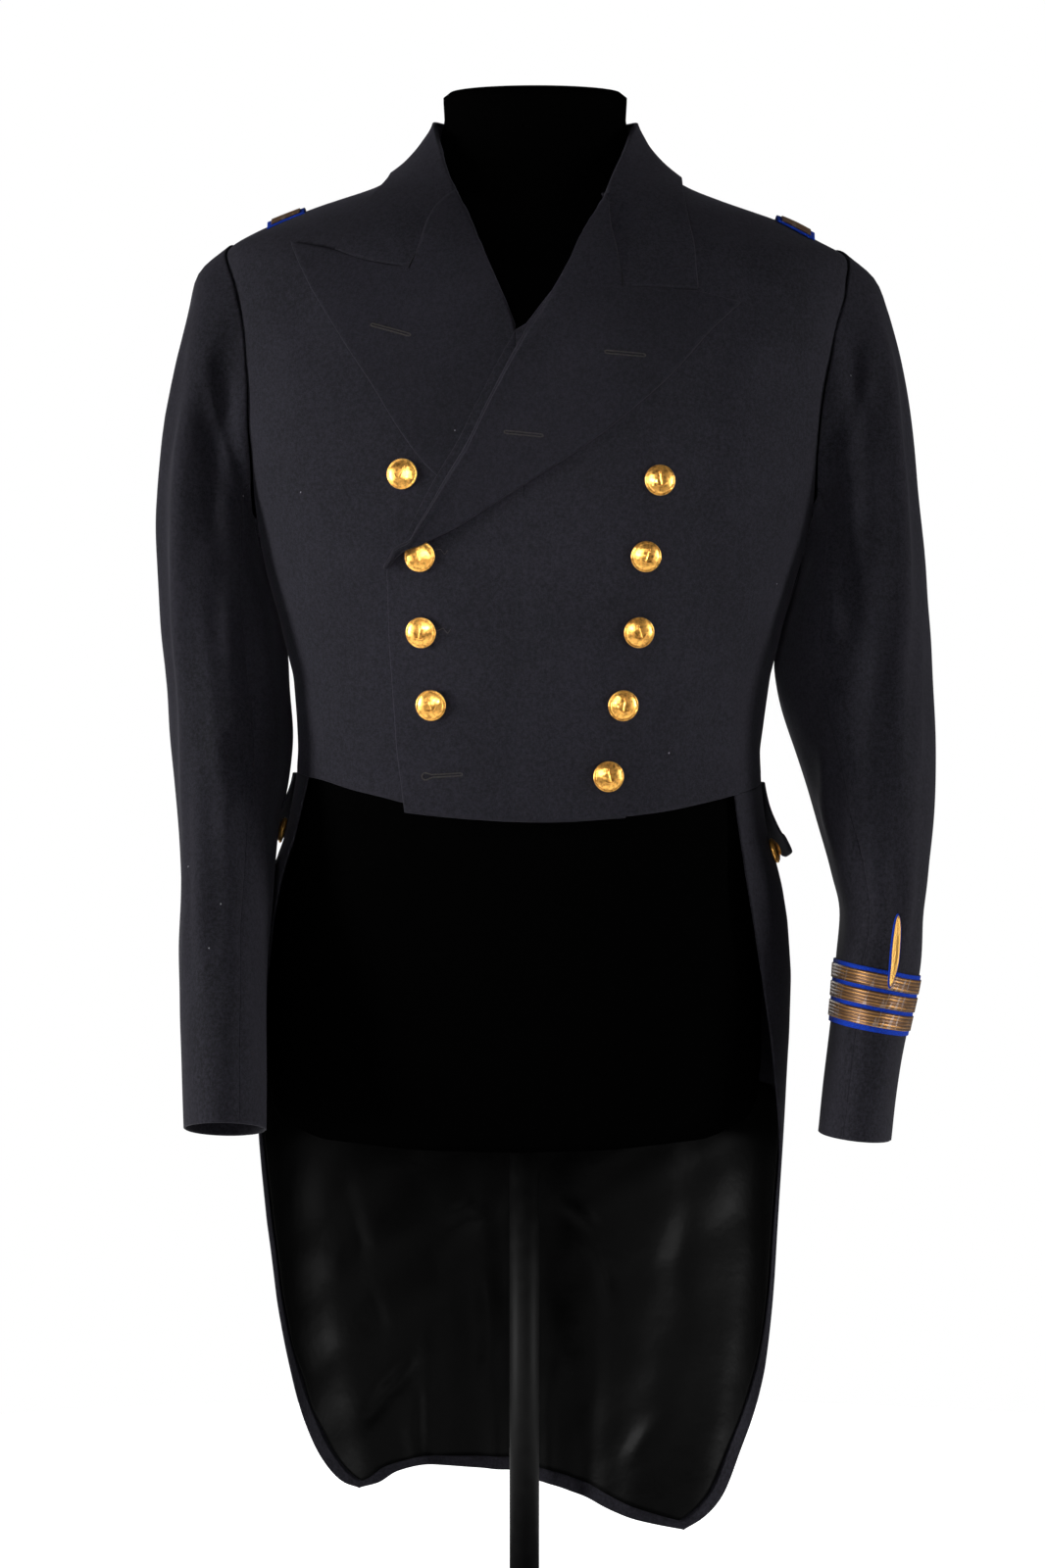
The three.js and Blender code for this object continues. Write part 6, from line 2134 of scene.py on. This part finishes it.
@dataclass
class Stitching:
    """Worked buttonholes, near-black threads sunk in the gorge seams as painted shadow lines, and loose
    thread ends.
    """

    finishes: Finishes
    lapel_wall: float = 2.2
    gorge_lift: float = 5.6
    half_width: float = 0.95
    eye_radius: float = 2.6
    stitch: float = 1.05

    def sew(self, name: str, line: np.ndarray, radius, sides: int, slot: str, closed: bool = False) -> None:
        """Makes one thread along a line of points."""
        vertices, faces = tube(line, radius, sides, closed)
        self.finishes.dress(add_mesh(name, vertices, faces.tolist()), slot, record_slot="wool")

    def hole(self, name: str, start: tuple, end: tuple, lift, keyhole: bool = False) -> None:
        """One worked buttonhole between two points of the front view.

        Args:
            name: the piece's name.
            start: x and z of one end.
            end: x and z of the other end.
            lift: lift of the cloth's outer face, or a function of turn and height that gives it.
            keyhole: whether its first end has a round eye.
        """
        a, b = np.array(start, float), np.array(end, float)
        way = (b - a) / np.linalg.norm(b - a)
        aside = np.array([-way[1], way[0]])
        half = self.half_width
        outline = []
        eye = self.eye_radius if keyhole else half
        for angle in np.linspace(90, 270, 15):
            turn = math.radians(angle)
            outline.append(a + way * math.cos(turn) * eye + aside * math.sin(turn) * eye)
        outline += [a + way * (eye + 2.0) - aside * half] if keyhole else []
        outline += [a + (b - a) * s - aside * half for s in np.linspace(0.2, 0.98, 12)]
        outline += [b + way * 0.8 - aside * half * 0.6, b + way * 1.0, b + way * 0.8 + aside * half * 0.6]
        outline += [a + (b - a) * s + aside * half for s in np.linspace(0.98, 0.2, 12)]
        outline += [a + way * (eye + 2.0) + aside * half] if keyhole else []
        flat = np.array(outline)
        turn = FACE.turn_across(flat[:, 0], flat[:, 1])
        height = lift(turn, flat[:, 1]) if callable(lift) else lift
        line = FACE.point(turn, flat[:, 1], height + 0.12)
        steps = np.concatenate([[0], np.cumsum(np.linalg.norm(np.diff(line, axis=0), axis=1))])
        even = np.linspace(0, steps[-1], int(steps[-1] / 0.35))
        thick = 0.46 + 0.16 * np.sin(even * math.tau / self.stitch)
        self.sew(name, read_along(even, steps, line), thick, 6, "thread", True)

    def seam(self, name: str, points: list, lift) -> None:
        """Near-black thread sunk along a line of the front view, a painted shadow line in the seam; lift is a
        function of turn and height.
        """
        line = leg(from_front(points), 60)
        spot = eased(FACE.point(line[:, 0], line[:, 1], lift(line[:, 0], line[:, 1])), 3, 0)
        self.sew(name, spot, 0.6, 6, "gorge_shadow_thread")

    def tail(self, name: str, points: list, lift: float) -> None:
        """One loose thread end, from x, z and extra lift of its points."""
        knots = np.array(points, float)
        t = np.linspace(0, len(knots) - 1, 24)
        spot = read_along(t, np.arange(len(knots)), knots)
        turn = FACE.turn_across(spot[:, 0], spot[:, 1])
        line = FACE.point(turn, spot[:, 1], left_lift(turn, spot[:, 1]) + lift + spot[:, 2])
        self.sew(name, line, 0.22, 5, "thread")

    def build(self) -> None:
        """Builds all the stitching."""

        def over(turn: np.ndarray, z: np.ndarray) -> np.ndarray:
            """Lift just above the left front."""
            return left_lift(turn, z) + WALL + 0.5

        def lapel(turn: np.ndarray, z: np.ndarray) -> np.ndarray:
            """Lift just above the left lapel."""
            return left_lift(turn, z) + LAYER + self.lapel_wall + 0.45

        def sunk(turn: np.ndarray, z: np.ndarray) -> np.ndarray:
            """Lift of the left gorge's thread."""
            return left_lift(turn, z) + self.gorge_lift

        self.hole("stitched_hole_overlap", (-68, 646), (-44, 647.5), over, True)
        self.hole("stitched_hole_lapel_right", (-107, 966), (-81, 958), LAYER + self.lapel_wall + 0.5)
        self.hole("stitched_hole_lapel_left_upper", (57, 944), (83, 942), lapel)
        self.hole("stitched_hole_lapel_left_lower", (-13, 888), (12, 885.5), lapel)
        # Near-black threads in the gorge grooves: painted shadow lines.
        self.seam("gorge_shadow_line_left", GORGE["left"][1:], sunk)
        self.seam("gorge_shadow_line_right", GORGE["right"][1:], lambda turn, z: self.gorge_lift)
        upper = [(-62, 806, 0.3), (-58, 807, 1.2), (-55, 803, 0.8), (-53, 806, 0.5)]
        lower = [(-60, 750, 0.3), (-56, 752, 1.0), (-53, 748, 0.8), (-51, 751, 0.4)]
        self.tail("thread_end_2", upper, WALL + 0.4)
        self.tail("thread_end_3", lower, WALL + 0.4)


@dataclass
class Studio:
    """Pale floor, soft light and the photograph's viewpoint."""

    finishes: Finishes
    eye: tuple = (-0.001, -3.2, 0.640)
    lens: float = 99.31
    sensor: float = 36.0
    ambient: float = 0.10
    floor_radius: float = 1.3

    def build_camera(self) -> None:
        """Makes the camera, level and square to the front."""
        data = bpy.data.cameras.new("camera")
        data.lens, data.sensor_width = self.lens, self.sensor
        data.clip_end = 100
        camera = linked("camera", data)
        camera.location = self.eye
        camera.rotation_euler = (math.pi / 2, 0, 0)
        bpy.context.scene.camera = camera

    def light(self, name: str, place: tuple, aim: tuple, size: tuple, power: float,
              spread: float = 180) -> None:
        """One soft rectangular light.

        Args:
            name: its name.
            place: where it stands, in metres.
            aim: what it points at.
            size: width and height.
            power: watts.
            spread: how wide its beam opens, in degrees.
        """
        data = bpy.data.lights.new(name, "AREA")
        data.spread = math.radians(spread)
        data.shape = "RECTANGLE"
        data.size, data.size_y = size
        data.energy = power
        lamp = linked(name, data)
        lamp.location = place
        lamp.rotation_euler = (Vector(aim) - Vector(place)).to_track_quat("-Z", "Y").to_euler()

    def build(self) -> None:
        """Makes floor, world and lights."""
        world = bpy.data.worlds.new("studio")
        bpy.context.scene.world = world
        world.use_nodes = True
        tree = world.node_tree
        shade = tree.nodes["Background"]
        seen = tree.nodes.new("ShaderNodeBackground")
        both = tree.nodes.new("ShaderNodeMixShader")
        path = tree.nodes.new("ShaderNodeLightPath")
        output = next(node for node in tree.nodes if node.type == "OUTPUT_WORLD")
        shade.inputs[0].default_value = seen.inputs[0].default_value = (1, 1, 1, 1)
        shade.inputs[1].default_value = self.ambient
        tree.links.new(path.outputs["Is Camera Ray"], both.inputs[0])
        tree.links.new(shade.outputs[0], both.inputs[1])
        tree.links.new(seen.outputs[0], both.inputs[2])
        tree.links.new(both.outputs[0], output.inputs[0])
        bpy.context.scene.view_settings.view_transform = "Standard"
        self.light("side_left", (-3.2, -0.95, 0.85), (0, 0, 0.75), (0.7, 1.3), 200)
        self.light("side_right", (3.2, -0.95, 0.85), (0, 0, 0.75), (0.7, 1.3), 118)
        self.light("front_left", (-0.9, -3.3, 1.1), (0, 0, 0.70), (0.7, 0.7), 32)
        self.light("front_beam", (-0.1, -3.7, 1.05), (0, 0, 0.83), (0.16, 0.42), 0.35, 9)
        self.light("back_soft", (-0.8, 2.8, 1.1), (0, 0, 0.7), (1.6, 1.2), 20)
        mesh = bpy.data.meshes.new("floor")
        angle = np.linspace(0, math.tau, 96, endpoint=False)
        rim = np.stack([self.floor_radius * np.cos(angle), self.floor_radius * np.sin(angle), 0 * angle], -1)
        mesh.from_pydata(rim.tolist(), [], [tuple(range(96))])
        floor = linked("floor", mesh)
        floor.data.materials.append(self.finishes.made["floor"])


def main() -> None:
    """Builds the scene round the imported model."""
    logging.basicConfig(level=logging.INFO, format="%(message)s")
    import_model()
    finishes = Finishes()
    studio = Studio(finishes)
    studio.build_camera()
    Form(finishes).build()
    sleeves = Sleeves(finishes)
    for part in (Fronts(finishes), Lapels(finishes), Collar(finishes), Backs(finishes), Tails(finishes),
                 sleeves, Flaps(finishes), Buttons(finishes), ShoulderLoops(finishes),
                 RankLace(finishes, sleeves), Stitching(finishes), studio):
        LOG.info("building %s", type(part).__name__)
        part.build()


if __name__ == "__main__":
    main()
